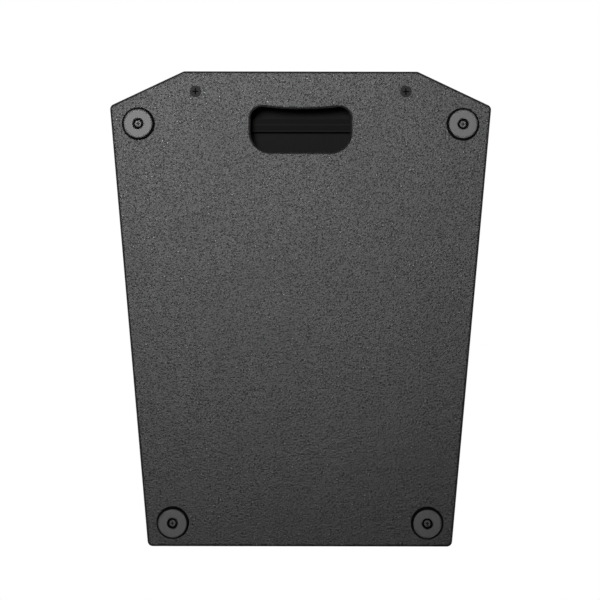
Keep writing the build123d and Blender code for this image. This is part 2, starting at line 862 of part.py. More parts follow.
screws(
    "foot_screws",
    [
        Plane(origin=(x, y, foot_bore_depth), x_dir=(1, 0, 0), z_dir=(0, 0, -1))
        for x, y in foot_places
    ],
    foot_screw_head_radius,
    foot_screw_head_height,
    foot_screw_radius,
    foot_screw_length,
    cross_width,
)
panel_screw_head_height = panel_screw_head_radius - panel_screw_radius
screws(
    "panel_screws",
    [
        Plane(origin=(x, y, z_base + panel_screw_head_height), x_dir=(1, 0, 0), z_dir=(0, 0, -1))
        for x, y in panel_screw_places
    ],
    panel_screw_head_radius,
    panel_screw_head_height,
    panel_screw_radius,
    panel_screw_length - panel_screw_head_height,
    cross_width,
    sunk=True,
)

# ----------------------------------------------------------------------------------------- reflex ports
for name, side in (("port_left", -1), ("port_right", 1)):
    with BuildPart() as port:
        port_face = place(driver_face, side * port_across, port_above_driver)
        with BuildSketch(port_face.offset(port_flange_thickness)):
            Circle(port_flange_radius)
        extrude(amount=-port_flange_thickness)
        with BuildSketch(port_face):
            Circle(port_outside)
        extrude(amount=-port_length)
        with BuildSketch(port_face.offset(port_flange_thickness)):
            Circle(port_radius)
        extrude(amount=-port_length - port_flange_thickness, mode=Mode.SUBTRACT)
        circles = port.edges().filter_by(GeomType.CIRCLE)
        mouth = circles.filter_by(lambda edge: abs(edge.radius - port_radius) < pick_margin)
        fillet(mouth.sort_by(Axis(port_face.origin, port_face.z_dir))[-1], port_flange_thickness)
    finish(port, name)

# ------------------------------------------------- loudspeaker: profiles are drawn as radius and height
driver_section = Plane(
    origin=driver_face.origin, x_dir=(1, 0, 0), z_dir=(0, -slope_cos, -slope_sin)
)
driver_axis = Axis(driver_face.origin, driver_face.z_dir)
basket_inside = basket_radius - basket_wall
flange_low = gasket_thickness
flange_high = flange_low + flange_thickness
waist_inside = basket_waist_radius - basket_wall
shelf_top = flange_high - surround_shelf_height
shelf_inner = basket_inside - surround_shelf
cone_radius = shelf_inner - surround_width
front_plate_high = basket_floor_height
front_plate_low = front_plate_high - front_plate_thickness
magnet_low = front_plate_low - magnet_thickness
back_plate_low = magnet_low - back_plate_thickness
former_outside = coil_radius + former_thickness
winding_outside = former_outside + winding_thickness
gap_outside = winding_outside + gap_clearance
pole_radius = coil_radius - gap_clearance


def ring(name, points):
    """A piece turned about the driver's axis from a closed outline of (radius, height) corners."""
    with BuildPart() as turned:
        with BuildSketch(driver_section):
            Polygon(*points, align=None)
        revolve(axis=driver_axis)
    finish(turned, name)


def wave_line(start, end, amplitude, count):
    """Points along a corrugated line: a straight run from start to end with whole or half waves on it."""
    steps = ceil(count * 8)
    return [
        (
            start[0] + (end[0] - start[0]) * k / steps,
            start[1] + (end[1] - start[1]) * k / steps + amplitude * sin(2 * pi * count * k / steps),
        )
        for k in range(steps + 1)
    ]


def corrugated(name, inner_lip, start, end, outer_lip, thickness, amplitude, count):
    """A corrugated ring with a flat lip at each side, of the same thickness all through."""
    waves = wave_line(start, end, amplitude, count)
    lower = [(inner_lip, start[1]), *waves, (outer_lip, end[1])]
    upper = [(r, h + thickness) for r, h in lower]
    ring(name, lower + upper[::-1])


with BuildPart() as basket:
    with BuildSketch(driver_section):
        Polygon(
            (driver_radius, flange_low),
            (driver_radius, flange_high),
            (basket_inside, flange_high),
            (basket_inside, shelf_top),
            (shelf_inner, shelf_top),
            (shelf_inner, shelf_top - surround_shelf_thickness),
            (basket_inside, shelf_top - surround_shelf_thickness),
            (basket_inside, -basket_straight),
            (waist_inside, basket_waist_height + basket_wall),
            (waist_inside, basket_waist_height),
            (basket_foot_radius - basket_wall, basket_waist_height),
            (basket_foot_radius - basket_wall, basket_floor_height + basket_floor_thickness),
            (gap_outside + basket_wall, basket_floor_height + basket_floor_thickness),
            (gap_outside + basket_wall, basket_floor_height),
            (basket_foot_radius, basket_floor_height),
            (basket_foot_radius, basket_waist_height - basket_wall),
            (basket_waist_radius, basket_waist_height - basket_wall),
            (basket_waist_radius, basket_waist_height),
            (basket_radius, -basket_straight),
            (basket_radius, flange_low),
            align=None,
        )
    revolve(axis=driver_axis)
    with BuildSketch(driver_face.offset(flange_high)):
        with Locations(*bolt_places):
            Circle(bolt_radius + screw_clearance)
    extrude(amount=-flange_thickness, mode=Mode.SUBTRACT)
    window_height_middle = (basket_waist_height - basket_straight) / 2
    for index in range(basket_window_count):
        turn = 360 * index / basket_window_count
        window_plane = Plane(
            origin=driver_axis.position + driver_axis.direction * window_height_middle,
            x_dir=Vector(1, 0, 0).rotate(Axis((0, 0, 0), driver_axis.direction), turn + 90),
            z_dir=Vector(1, 0, 0).rotate(Axis((0, 0, 0), driver_axis.direction), turn),
        )
        with BuildSketch(window_plane):
            RectangleRounded(basket_window_width, basket_window_height, basket_wall)
        extrude(amount=basket_radius, mode=Mode.SUBTRACT)
finish(basket, "driver_basket")

screws(
    "driver_bolts",
    [place(driver_face, across, up, flange_high) for across, up in bolt_places],
    bolt_head_radius,
    bolt_head_height,
    bolt_radius,
    bolt_length,
    cross_width,
)
with BuildPart() as driver_gasket:
    with BuildSketch(driver_face):
        Circle(driver_radius)
        Circle(cutout_radius, mode=Mode.SUBTRACT)
        with Locations(*bolt_places):
            Circle(bolt_radius + screw_clearance, mode=Mode.SUBTRACT)
    extrude(amount=gasket_thickness)
finish(driver_gasket, "driver_gasket")

ring(
    "front_plate",
    [
        (gap_outside, front_plate_low),
        (plate_radius, front_plate_low),
        (plate_radius, front_plate_high),
        (gap_outside, front_plate_high),
    ],
)
ring(
    "driver_magnet",
    [
        (magnet_bore_radius, magnet_low),
        (magnet_radius, magnet_low),
        (magnet_radius, front_plate_low),
        (magnet_bore_radius, front_plate_low),
    ],
)
ring(
    "pole_plate",
    [
        (throat_radius, back_plate_low),
        (plate_radius, back_plate_low),
        (plate_radius, magnet_low),
        (pole_radius, magnet_low),
        (pole_radius, front_plate_high),
        (throat_radius, front_plate_high),
    ],
)
winding_middle = (front_plate_high + front_plate_low) / 2
ring(
    "voice_coil",
    [
        (coil_radius, former_bottom),
        (former_outside, former_bottom),
        (former_outside, winding_middle - winding_length / 2),
        (winding_outside, winding_middle - winding_length / 2),
        (winding_outside, winding_middle + winding_length / 2),
        (former_outside, winding_middle + winding_length / 2),
        (former_outside, cone_neck_height),
        (coil_radius, cone_neck_height),
    ],
)
ring(
    "cone",
    [
        (former_outside, cone_neck_height - 2 * cone_thickness),
        (cone_radius - cone_lip + cone_thickness, cone_edge_height - cone_thickness),
        (cone_radius, cone_edge_height - cone_thickness),
        (cone_radius, cone_edge_height),
        (cone_radius - cone_lip, cone_edge_height),
        (former_outside, cone_neck_height),
    ],
)
corrugated(
    "surround",
    cone_radius - cone_lip,
    (cone_radius, cone_edge_height),
    (shelf_inner, shelf_top),
    basket_inside - fit_gap,
    surround_thickness,
    surround_wave,
    surround_wave_count,
)
corrugated(
    "spider",
    former_outside,
    (former_outside + spider_lip / 2, basket_waist_height + spider_rise),
    (spider_radius - spider_lip, basket_waist_height),
    spider_radius,
    spider_thickness,
    spider_wave,
    spider_wave_count,
)

horn_foot_high = front_plate_high + horn_foot_thickness
horn_bend = (
    throat_radius + (horn_mouth_radius - throat_radius) * horn_bend_across,
    front_plate_high + (horn_mouth_height - front_plate_high) * horn_bend_height,
)
with BuildPart() as horn:
    with BuildSketch(driver_section):
        with BuildLine():
            ThreePointArc(
                (throat_radius, front_plate_high), horn_bend, (horn_mouth_radius, horn_mouth_height)
            )
            Polyline(
                (horn_mouth_radius, horn_mouth_height),
                (horn_mouth_radius + horn_lip, horn_mouth_height),
                (horn_mouth_radius + horn_lip, horn_mouth_height - horn_wall),
            )
            ThreePointArc(
                (horn_mouth_radius + horn_lip, horn_mouth_height - horn_wall),
                (horn_bend[0] + horn_wall * horn_bend_wall, horn_bend[1] - horn_wall * horn_bend_wall),
                (throat_radius + horn_wall, horn_foot_high),
            )
            Polyline(
                (throat_radius + horn_wall, horn_foot_high),
                (horn_foot_radius, horn_foot_high),
                (horn_foot_radius, front_plate_high),
                (throat_radius, front_plate_high),
            )
        make_face()
    revolve(axis=driver_axis)
finish(horn, "treble_horn")

treble_high = back_plate_low
treble_low = treble_high - treble_body_thickness
ring(
    "treble_driver",
    [
        (throat_radius, treble_high),
        (treble_radius, treble_high),
        (treble_radius, treble_low),
        (treble_chamber_radius, treble_low),
        (treble_chamber_radius, treble_low + treble_chamber_depth),
        (throat_radius, treble_low + treble_chamber_depth),
    ],
)
dome_sphere = (dome_radius**2 + dome_rise**2) / (2 * dome_rise)
dome_half_rise = dome_rise - dome_sphere + (dome_sphere**2 - (dome_radius / 2) ** 2) ** 0.5
dome_lip_radius = treble_chamber_radius + dome_lip
with BuildPart() as treble_dome:
    with BuildSketch(driver_section):
        with BuildLine():
            Polyline(
                (dome_radius, treble_low - dome_thickness),
                (dome_lip_radius, treble_low - dome_thickness),
                (dome_lip_radius, treble_low),
                (dome_radius, treble_low),
            )
            ThreePointArc(
                (dome_radius, treble_low),
                (dome_radius / 2, treble_low - dome_half_rise),
                (0, treble_low - dome_rise),
            )
            Line((0, treble_low - dome_rise), (0, treble_low - dome_rise - dome_thickness))
            ThreePointArc(
                (0, treble_low - dome_rise - dome_thickness),
                (dome_radius / 2, treble_low - dome_half_rise - dome_thickness),
                (dome_radius, treble_low - dome_thickness),
            )
        make_face()
    revolve(axis=driver_axis)
finish(treble_dome, "treble_dome")

cover_outside = treble_radius - treble_cover_inset
cover_inside = cover_outside - treble_cover_wall
cover_low = treble_low - treble_cover_depth
with BuildPart() as treble_cover:
    with BuildSketch(driver_section):
        Polygon(
            (dome_lip_radius + fit_gap, treble_low),
            (cover_outside, treble_low),
            (cover_outside, cover_low + treble_cover_wall),
            (cover_outside - treble_cover_wall, cover_low),
            (0, cover_low),
            (0, cover_low + treble_cover_wall),
            (cover_inside - treble_cover_wall, cover_low + treble_cover_wall),
            (cover_inside, cover_low + 2 * treble_cover_wall),
            (cover_inside, treble_low - treble_cover_wall),
            (dome_lip_radius + fit_gap, treble_low - treble_cover_wall),
            align=None,
        )
    revolve(axis=driver_axis)
finish(treble_cover, "treble_cover")

# --------------------------------------------------------------------- amplifier faceplate and heatsink
# On the faceplate, depth is measured from its back face into the cabinet.


def from_back(across, up, depth=0.0):
    """A plane that faces into the cabinet, at a depth behind the faceplate's back face."""
    return place(faceplate_back, across, up, depth)


def from_front(across, up, depth=0.0):
    """The same place, seen from outside: its normal points out of the rear."""
    spot = from_back(across, up, depth)
    return Plane(origin=spot.origin, x_dir=(-1, 0, 0), z_dir=(0, 1, 0))


button_places = [(button_across + share * button_spacing / 2, button_up) for share in (-1, 1)]
light_places = [
    (button_across + (k - (light_count - 1) / 2) * light_spacing, light_up) for k in range(light_count)
]
socket_places = [(input_across, socket_up), (link_across, socket_up)]
switch_body_width = switch_width - 2 * switch_wall
switch_body_height = switch_height - 2 * switch_wall
inlet_body_width = inlet_opening_width + 2 * switch_wall
inlet_body_height = inlet_opening_height + 2 * switch_wall

with BuildPart() as faceplate:
    with BuildSketch(faceplate_back):
        RectangleRounded(faceplate_width, faceplate_height, faceplate_corner_radius)
    extrude(amount=-faceplate_thickness)
    fillet(faceplate.faces().sort_by(Axis.Y)[-1].outer_wire().edges(), faceplate_edge_radius)
    with BuildSketch(faceplate_back):
        with Locations(*faceplate_screw_places):
            Circle(faceplate_screw_radius + screw_clearance)
        with Locations(*socket_places):
            Circle(socket_barrel_radius + fit_clearance)
        with Locations((input_across, socket_up + latch_up)):
            Rectangle(latch_width + 4 * latch_clearance, latch_height + 4 * latch_clearance)
        with Locations((inlet_across, inlet_up)):
            Rectangle(inlet_body_width + 2 * fit_clearance, inlet_body_height + 2 * fit_clearance)
        with Locations((switch_across, switch_up)):
            Rectangle(switch_body_width + 2 * fit_clearance, switch_body_height + 2 * fit_clearance)
        with Locations((knob_across, knob_up)):
            Circle(shaft_radius + shaft_clearance)
        with Locations(*button_places):
            Circle(button_radius + fit_clearance)
        with Locations(*light_places):
            Circle(light_radius + fit_clearance)
    extrude(amount=-faceplate_thickness, mode=Mode.SUBTRACT)
finish(faceplate, "amp_faceplate")

screws(
    "faceplate_screws",
    [from_front(x, up, -faceplate_thickness) for x, up in faceplate_screw_places],
    faceplate_screw_head_radius,
    faceplate_screw_head_height,
    faceplate_screw_radius,
    faceplate_screw_length,
    small_cross_width,
)

fin_pitch = (heatsink_width - fin_thickness) / (fin_count - 1)
with BuildPart() as heatsink:
    with BuildSketch(from_front(heatsink_across, 0, -faceplate_thickness)):
        Rectangle(heatsink_width, heatsink_height)
    extrude(amount=heatsink_base)
    with BuildSketch(from_front(heatsink_across, 0, -faceplate_thickness - heatsink_base)):
        with GridLocations(fin_pitch, 0, fin_count, 1):
            Rectangle(fin_thickness, heatsink_height)
    extrude(amount=fin_height)
finish(heatsink, "heatsink")


def socket_body(name, across, bore_radius, slot):
    """A round cable socket with a square flange, bored from the front, with a slot for its latch."""
    with BuildPart() as socket:
        with BuildSketch(from_front(across, socket_up, -faceplate_thickness)):
            RectangleRounded(socket_width, socket_height, socket_corner_radius)
        extrude(amount=socket_flange)
        fillet(socket.faces().sort_by(Axis.Y)[-1].outer_wire().edges(), socket_edge_radius)
        with BuildSketch(from_back(across, socket_up, -faceplate_thickness)):
            Circle(socket_barrel_radius)
        extrude(amount=socket_depth)
        with BuildSketch(from_back(across, socket_up, -faceplate_thickness - socket_flange)):
            Circle(bore_radius)
        extrude(amount=socket_bore_depth, mode=Mode.SUBTRACT)
        if slot:
            with BuildSketch(from_back(across, socket_up + latch_up, -faceplate_thickness - socket_flange)):
                Rectangle(latch_width + 2 * latch_clearance, latch_height + 2 * latch_clearance)
            extrude(amount=latch_length + latch_travel, mode=Mode.SUBTRACT)
    finish(socket, name)


socket_body("input_socket", input_across, input_bore_radius, True)
socket_body("link_socket", link_across, link_bore_radius, False)
socket_face_depth = -faceplate_thickness - socket_flange

with BuildPart() as input_insulator:
    with BuildSketch(from_back(input_across, socket_up, socket_face_depth + insulator_sink)):
        Circle(insulator_radius)
        Circle(jack_radius, mode=Mode.SUBTRACT)
        with PolarLocations(contact_circle, 3, start_angle=90):
            Circle(contact_radius, mode=Mode.SUBTRACT)
    extrude(amount=socket_bore_depth - insulator_sink)
finish(input_insulator, "input_insulator")

with BuildPart() as input_latch:
    with BuildSketch(from_back(input_across, socket_up + latch_up, socket_face_depth - latch_proud)):
        RectangleRounded(latch_width, latch_height, latch_corner_radius)
    extrude(amount=latch_length)
    fillet(input_latch.faces().sort_by(Axis.Y)[-1].outer_wire().edges(), latch_edge_radius)
finish(input_latch, "input_latch")

blade_places = [(-blade_spacing, -blade_offset), (0, blade_offset), (blade_spacing, -blade_offset)]
with BuildPart() as contact_pins:
    with BuildSketch(from_back(link_across, socket_up, socket_face_depth + socket_bore_depth)):
        with PolarLocations(pin_circle, 3, start_angle=90):
            Circle(pin_radius)
    extrude(amount=-pin_length)
    inlet_floor_depth = -faceplate_thickness - inlet_flange + inlet_opening_depth
    with BuildSketch(from_back(inlet_across, inlet_up, inlet_floor_depth)):
        with Locations(*blade_places):
            Rectangle(blade_width, blade_height)
    extrude(amount=-blade_length)
finish(contact_pins, "contact_pins")

# ------------------------------------------------------------------------- mains inlet and power switch
with BuildPart() as mains_inlet:
    with BuildSketch(from_front(inlet_across, inlet_up, -faceplate_thickness)):
        RectangleRounded(inlet_width, inlet_height, inlet_corner_radius)
    extrude(amount=inlet_flange)
    fillet(mains_inlet.faces().sort_by(Axis.Y)[-1].outer_wire().edges(), inlet_edge_radius)
    with BuildSketch(from_back(inlet_across, inlet_up, -faceplate_thickness)):
        Rectangle(inlet_body_width, inlet_body_height)
    extrude(amount=inlet_body_depth)
    with BuildSketch(from_back(inlet_across, inlet_up, -faceplate_thickness - inlet_flange)) as opening:
        Rectangle(inlet_opening_width, inlet_opening_height)
        chamfer(opening.vertices().group_by(Axis.Z)[-1], inlet_bevel)
    extrude(amount=inlet_opening_depth, mode=Mode.SUBTRACT)
finish(mains_inlet, "mains_inlet")

switch_face_depth = -faceplate_thickness - switch_flange
rocker_opening_width = switch_body_width - 2 * switch_wall
rocker_opening_height = 2 * (rocker_radius + rocker_clearance)
rocker_back_reach = rocker_radius * sin(radians(rocker_back_angle + rocker_tilt))
rocker_opening_depth = rocker_pivot_depth + rocker_back_reach + rocker_back_gap
rocker_width = rocker_opening_width - 2 * rocker_clearance
rocker_plane = Plane(
    origin=from_back(switch_across, switch_up, switch_face_depth + rocker_pivot_depth).origin,
    x_dir=(0, cos(radians(rocker_tilt)), sin(radians(rocker_tilt))),
    z_dir=(1, 0, 0),
)
rocker_pin_length = rocker_width + 2 * rocker_clearance + switch_wall

with BuildPart() as switch_frame:
    with BuildSketch(from_front(switch_across, switch_up, -faceplate_thickness)):
        RectangleRounded(switch_width, switch_height, switch_corner_radius)
    extrude(amount=switch_flange)
    fillet(switch_frame.faces().sort_by(Axis.Y)[-1].outer_wire().edges(), switch_edge_radius)
    with BuildSketch(from_back(switch_across, switch_up, -faceplate_thickness)):
        Rectangle(switch_body_width, switch_body_height)
    extrude(amount=switch_depth)
    with BuildSketch(from_back(switch_across, switch_up, switch_face_depth)):
        Rectangle(rocker_opening_width, rocker_opening_height)
    extrude(amount=rocker_opening_depth, mode=Mode.SUBTRACT)
    with BuildSketch(rocker_plane):
        Circle(rocker_pin_radius + rocker_pin_clearance)
    extrude(amount=rocker_pin_length / 2 + rocker_pin_clearance, both=True, mode=Mode.SUBTRACT)
finish(switch_frame, "switch_frame")


def rocker_point(angle):
    """A point on the rocker's end circle: the angle is from the upright towards the outside."""
    return rocker_radius * sin(radians(angle)), rocker_radius * cos(radians(angle))


with BuildPart() as rocker:
    tip = rocker_point(rocker_tip_angle)
    crown = rocker_point(0)
    heel = rocker_point(-rocker_back_angle)
    with BuildSketch(rocker_plane):
        with BuildLine():
            ThreePointArc(tip, crown, heel)
            Line(heel, (heel[0], -heel[1]))
            ThreePointArc((heel[0], -heel[1]), (crown[0], -crown[1]), (tip[0], -tip[1]))
            Polyline((tip[0], -tip[1]), (rocker_valley, 0), tip)
        make_face()
    extrude(amount=rocker_width / 2, both=True)
    with BuildSketch(rocker_plane):
        Circle(rocker_pin_radius)
    extrude(amount=rocker_pin_length / 2, both=True)
finish(rocker, "power_rocker")

# ------------------------------------------------------------- level control, buttons and signal lights
knob_face_depth = -faceplate_thickness - knob_float - knob_height
with BuildPart() as level_knob:
    with BuildSketch(from_back(knob_across, knob_up, knob_face_depth)):
        Circle(knob_radius)
        with PolarLocations(knob_radius + knob_flute_radius * knob_flute_shift, knob_flute_count):
            Circle(knob_flute_radius, mode=Mode.SUBTRACT)
    extrude(amount=knob_height)
    chamfer(level_knob.faces().sort_by(Axis.Y)[-1].outer_wire().edges(), knob_edge)
    with BuildSketch(from_back(knob_across, knob_up + knob_radius / 2, knob_face_depth)):
        Rectangle(knob_mark_width, knob_radius)
    extrude(amount=knob_mark_depth, mode=Mode.SUBTRACT)
    with BuildSketch(from_back(knob_across, knob_up, knob_face_depth + knob_height)):
        Circle(shaft_radius)
    extrude(amount=-knob_socket_depth, mode=Mode.SUBTRACT)
finish(level_knob, "level_knob")

with BuildPart() as knob_shaft:
    with BuildSketch(from_back(knob_across, knob_up, knob_face_depth + knob_height - knob_socket_depth)):
        Circle(shaft_radius)
    extrude(amount=shaft_length)
finish(knob_shaft, "knob_shaft")

for name, (across, up) in zip(("ground_button", "filter_button"), button_places):
    with BuildPart() as button:
        with BuildSketch(from_back(across, up, -faceplate_thickness - button_proud)):
            Circle(button_radius)
        extrude(amount=button_length)
        fillet(button.faces().sort_by(Axis.Y)[-1].outer_wire().edges(), button_edge_radius)
    finish(button, name)

button_end_depth = button_length - faceplate_thickness - button_proud
with BuildPart() as control_bodies:
    with BuildSketch(from_back(knob_across, knob_up)):
        Rectangle(2 * pot_radius, 2 * pot_radius)
        Circle(shaft_radius + shaft_clearance, mode=Mode.SUBTRACT)
    extrude(amount=pot_depth)
    with BuildSketch(from_back(knob_across, knob_up, pot_depth)):
        Rectangle(2 * pot_radius, 2 * pot_radius)
    extrude(amount=board_thickness)
    with BuildSketch(from_back(button_across, button_up, button_end_depth + button_travel + fit_clearance)):
        with GridLocations(button_spacing, 0, 2, 1):
            Rectangle(button_switch_size, button_switch_size)
    extrude(amount=button_switch_size)
finish(control_bodies, "control_bodies")

with BuildPart() as light_pipes:
    for across, up in light_places:
        with BuildSketch(from_back(across, up, -faceplate_thickness - light_proud)):
            Circle(light_radius)
        extrude(amount=light_length)
    tips = light_pipes.faces().group_by(Axis.Y)[-1]
    fillet([edge for tip_face in tips for edge in tip_face.edges()], light_radius * light_edge_share)
finish(light_pipes, "light_pipes")

# --------------------------------------------------------------------------------- inside of the module
with BuildPart() as module_cover:
    with BuildSketch(faceplate_back):
        Rectangle(module_width, module_height)
    extrude(amount=module_depth)
    with BuildSketch(faceplate_back):
        Rectangle(module_width - 2 * cover_wall, module_height - 2 * cover_wall)
    extrude(amount=module_depth - cover_wall, mode=Mode.SUBTRACT)
    with BuildSketch(from_back(lead_across, lead_up, module_depth - cover_wall)):
        Circle(lead_radius + fit_clearance)
    extrude(amount=cover_wall, mode=Mode.SUBTRACT)
finish(module_cover, "module_cover")

with BuildPart() as circuit_boards:
    with BuildSketch(from_back(input_board_across, 0, input_board_depth)):
        Rectangle(input_board_width, input_board_height)
    extrude(amount=board_thickness)
    with BuildSketch(from_back(main_board_across, 0, main_board_depth)):
        Rectangle(main_board_width, main_board_height)
    extrude(amount=board_thickness)
finish(circuit_boards, "circuit_boards")

board_face = main_board_depth + board_thickness
with BuildPart() as board_components:
    with BuildSketch(from_back(main_board_across + transformer_across, transformer_up, board_face)):
        Circle(transformer_radius)
        Circle(transformer_bore, mode=Mode.SUBTRACT)
    extrude(amount=transformer_height)
    fillet(board_components.edges().filter_by(GeomType.CIRCLE), transformer_height * transformer_edge_share)
    with BuildSketch(from_back(main_board_across, capacitor_up, board_face)):
        with GridLocations(capacitor_pitch, capacitor_pitch, 3, 2):
            Circle(capacitor_radius)
    extrude(amount=capacitor_height)
    with BuildSketch(from_back(main_board_across, 0)):
        with GridLocations(device_pitch_across, device_pitch_up, 3, 2):
            Rectangle(device_width, device_height)
    extrude(amount=device_thickness)
finish(board_components, "board_components")

# ------------------------------------------- speaker lead and its terminals on the magnet's front plate
terminal_spot = place(driver_face, 0, basket_foot_radius + terminal_size[1] / 2, basket_floor_height)
with BuildPart() as driver_terminals:
    with Locations(terminal_spot.offset(terminal_size[2] / 2 + fit_gap)):
        Box(*terminal_size)
finish(driver_terminals, "driver_terminals")

terminal_outer = place(
    driver_face,
    0,
    basket_foot_radius + terminal_size[1],
    basket_floor_height + terminal_size[2] / 2 + fit_gap,
).origin
lead_start = from_back(lead_across, lead_up, module_depth - cover_wall - lead_inside).origin
lead_points = [
    lead_start,
    Vector(lead_start.X, brace_y - 2 * brace_thickness, lead_start.Z),
    terminal_outer + Vector(0, slope_cos, slope_sin) * lead_straight,
    terminal_outer,
]


def bend_radii(points):
    """The largest radius at each inner point that keeps clear of the next bends."""
    radii = []
    for before, at, after in zip(points, points[1:], points[2:]):
        run_in, run_out = at - before, after - at
        half_turn = radians(run_in.get_angle(run_out)) / 2
        radii.append(lead_bend_share * min(run_in.length, run_out.length) / tan(half_turn))
    return radii


with BuildPart() as speaker_lead:
    with BuildLine() as route:
        FilletPolyline(*lead_points, radius=bend_radii(lead_points))
    with BuildSketch(Plane(origin=lead_start, x_dir=(1, 0, 0), z_dir=(0, -1, 0))):
        Circle(lead_radius)
    sweep()
finish(speaker_lead, "speaker_lead")

# ----------------------------------------------------------------------------- wadding along both sides
with BuildPart() as wadding:
    with BuildSketch(Plane.XY.offset(z_inside + batten_size + fit_gap)):
        with BuildLine():
            Polyline(
                (inner_half_width(wadding_front) - fit_gap, wadding_front),
                (inner_half_width(wadding_rear) - fit_gap, wadding_rear),
                (inner_half_width(wadding_rear) - wadding_thickness, wadding_rear),
                (inner_half_width(wadding_front) - wadding_thickness, wadding_front),
                close=True,
            )
        make_face()
    extrude(amount=wadding_height)
    mirror(about=Plane.YZ)
    split(bisect_by=baffle_back.offset(-fit_gap), keep=Keep.BOTTOM)
finish(wadding, "wadding")
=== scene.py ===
"""Looks of a powered stage monitor wedge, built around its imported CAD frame."""

import json
import logging
import math
from dataclasses import dataclass, field
from enum import Enum
from typing import Any, Sequence

import bmesh
import bpy
from mathutils import Matrix, Vector, noise


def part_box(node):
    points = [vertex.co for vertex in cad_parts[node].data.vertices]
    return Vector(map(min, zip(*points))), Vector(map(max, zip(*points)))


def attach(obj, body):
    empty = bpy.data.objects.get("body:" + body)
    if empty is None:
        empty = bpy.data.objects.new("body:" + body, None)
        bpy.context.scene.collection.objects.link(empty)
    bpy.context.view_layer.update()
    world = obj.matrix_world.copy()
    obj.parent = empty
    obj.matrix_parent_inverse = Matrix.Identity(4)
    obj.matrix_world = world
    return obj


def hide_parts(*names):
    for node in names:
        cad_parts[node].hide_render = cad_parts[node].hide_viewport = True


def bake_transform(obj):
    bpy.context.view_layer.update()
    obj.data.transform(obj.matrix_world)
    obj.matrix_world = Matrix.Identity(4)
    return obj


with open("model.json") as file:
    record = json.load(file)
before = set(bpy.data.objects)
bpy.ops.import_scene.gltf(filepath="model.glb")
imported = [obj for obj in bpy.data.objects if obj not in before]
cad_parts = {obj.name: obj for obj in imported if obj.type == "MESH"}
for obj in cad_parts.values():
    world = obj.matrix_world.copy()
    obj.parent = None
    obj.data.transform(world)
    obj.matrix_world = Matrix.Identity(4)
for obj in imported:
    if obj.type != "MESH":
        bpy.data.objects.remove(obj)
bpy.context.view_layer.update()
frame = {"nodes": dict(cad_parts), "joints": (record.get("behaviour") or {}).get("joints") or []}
LOG = logging.getLogger("wedge")
MM = 0.001
MERGE = 0.002 * MM
SHEET_MERGE = 0.01 * MM
OWN = "wedge_"  # starts the name of every material made here
MIX_FIRST, MIX_SECOND, MIX_RESULT = 6, 7, 2  # the Mix node's sockets for colours
Colour = tuple[float, float, float]
Point = tuple[float, float]


# ---------------------------------------------------------------- shader helpers
class Signal:
    """A number carried by a socket, so that shader maths reads as Python."""

    def __init__(self, graph: "Graph", socket: bpy.types.NodeSocket) -> None:
        """Wrap one output socket of a graph."""
        self.graph = graph
        self.socket = socket

    def _math(self, operation: str, *values: Any, clamp: bool = False) -> "Signal":
        """Add a Math node.

        Args:
            operation: The node's operation.
            values: Numbers or signals, in the order of its sockets.
            clamp: Keep the result between 0 and 1.

        Returns:
            The result.
        """
        settings = {"operation": operation, "use_clamp": clamp}
        made = self.graph.node("ShaderNodeMath", settings, dict(enumerate(values)))
        return Signal(self.graph, made.outputs[0])

    def __add__(self, other: Any) -> "Signal":
        """self + other."""
        return self._math("ADD", self, other)

    def __radd__(self, other: Any) -> "Signal":
        """other + self."""
        return self._math("ADD", other, self)

    def __sub__(self, other: Any) -> "Signal":
        """self - other."""
        return self._math("SUBTRACT", self, other)

    def __rsub__(self, other: Any) -> "Signal":
        """other - self."""
        return self._math("SUBTRACT", other, self)

    def __mul__(self, other: Any) -> "Signal":
        """self * other."""
        return self._math("MULTIPLY", self, other)

    def __rmul__(self, other: Any) -> "Signal":
        """other * self."""
        return self._math("MULTIPLY", other, self)

    def __truediv__(self, other: Any) -> "Signal":
        """self / other."""
        return self._math("DIVIDE", self, other)

    def sine(self) -> "Signal":
        """Sine of the value."""
        return self._math("SINE", self)

    def fraction(self) -> "Signal":
        """The part after the decimal point."""
        return self._math("FRACT", self)

    def clamp(self) -> "Signal":
        """The value, kept between 0 and 1."""
        return self._math("ADD", self, 0.0, clamp=True)

    def above(self, threshold: float) -> "Signal":
        """1 where the value is over the threshold, 0 elsewhere."""
        return self._math("GREATER_THAN", self, threshold)

    def step(self, low: float, high: float) -> "Signal":
        """A straight ramp from 0 at low to 1 at high."""
        return ((self - low) / (high - low)).clamp()


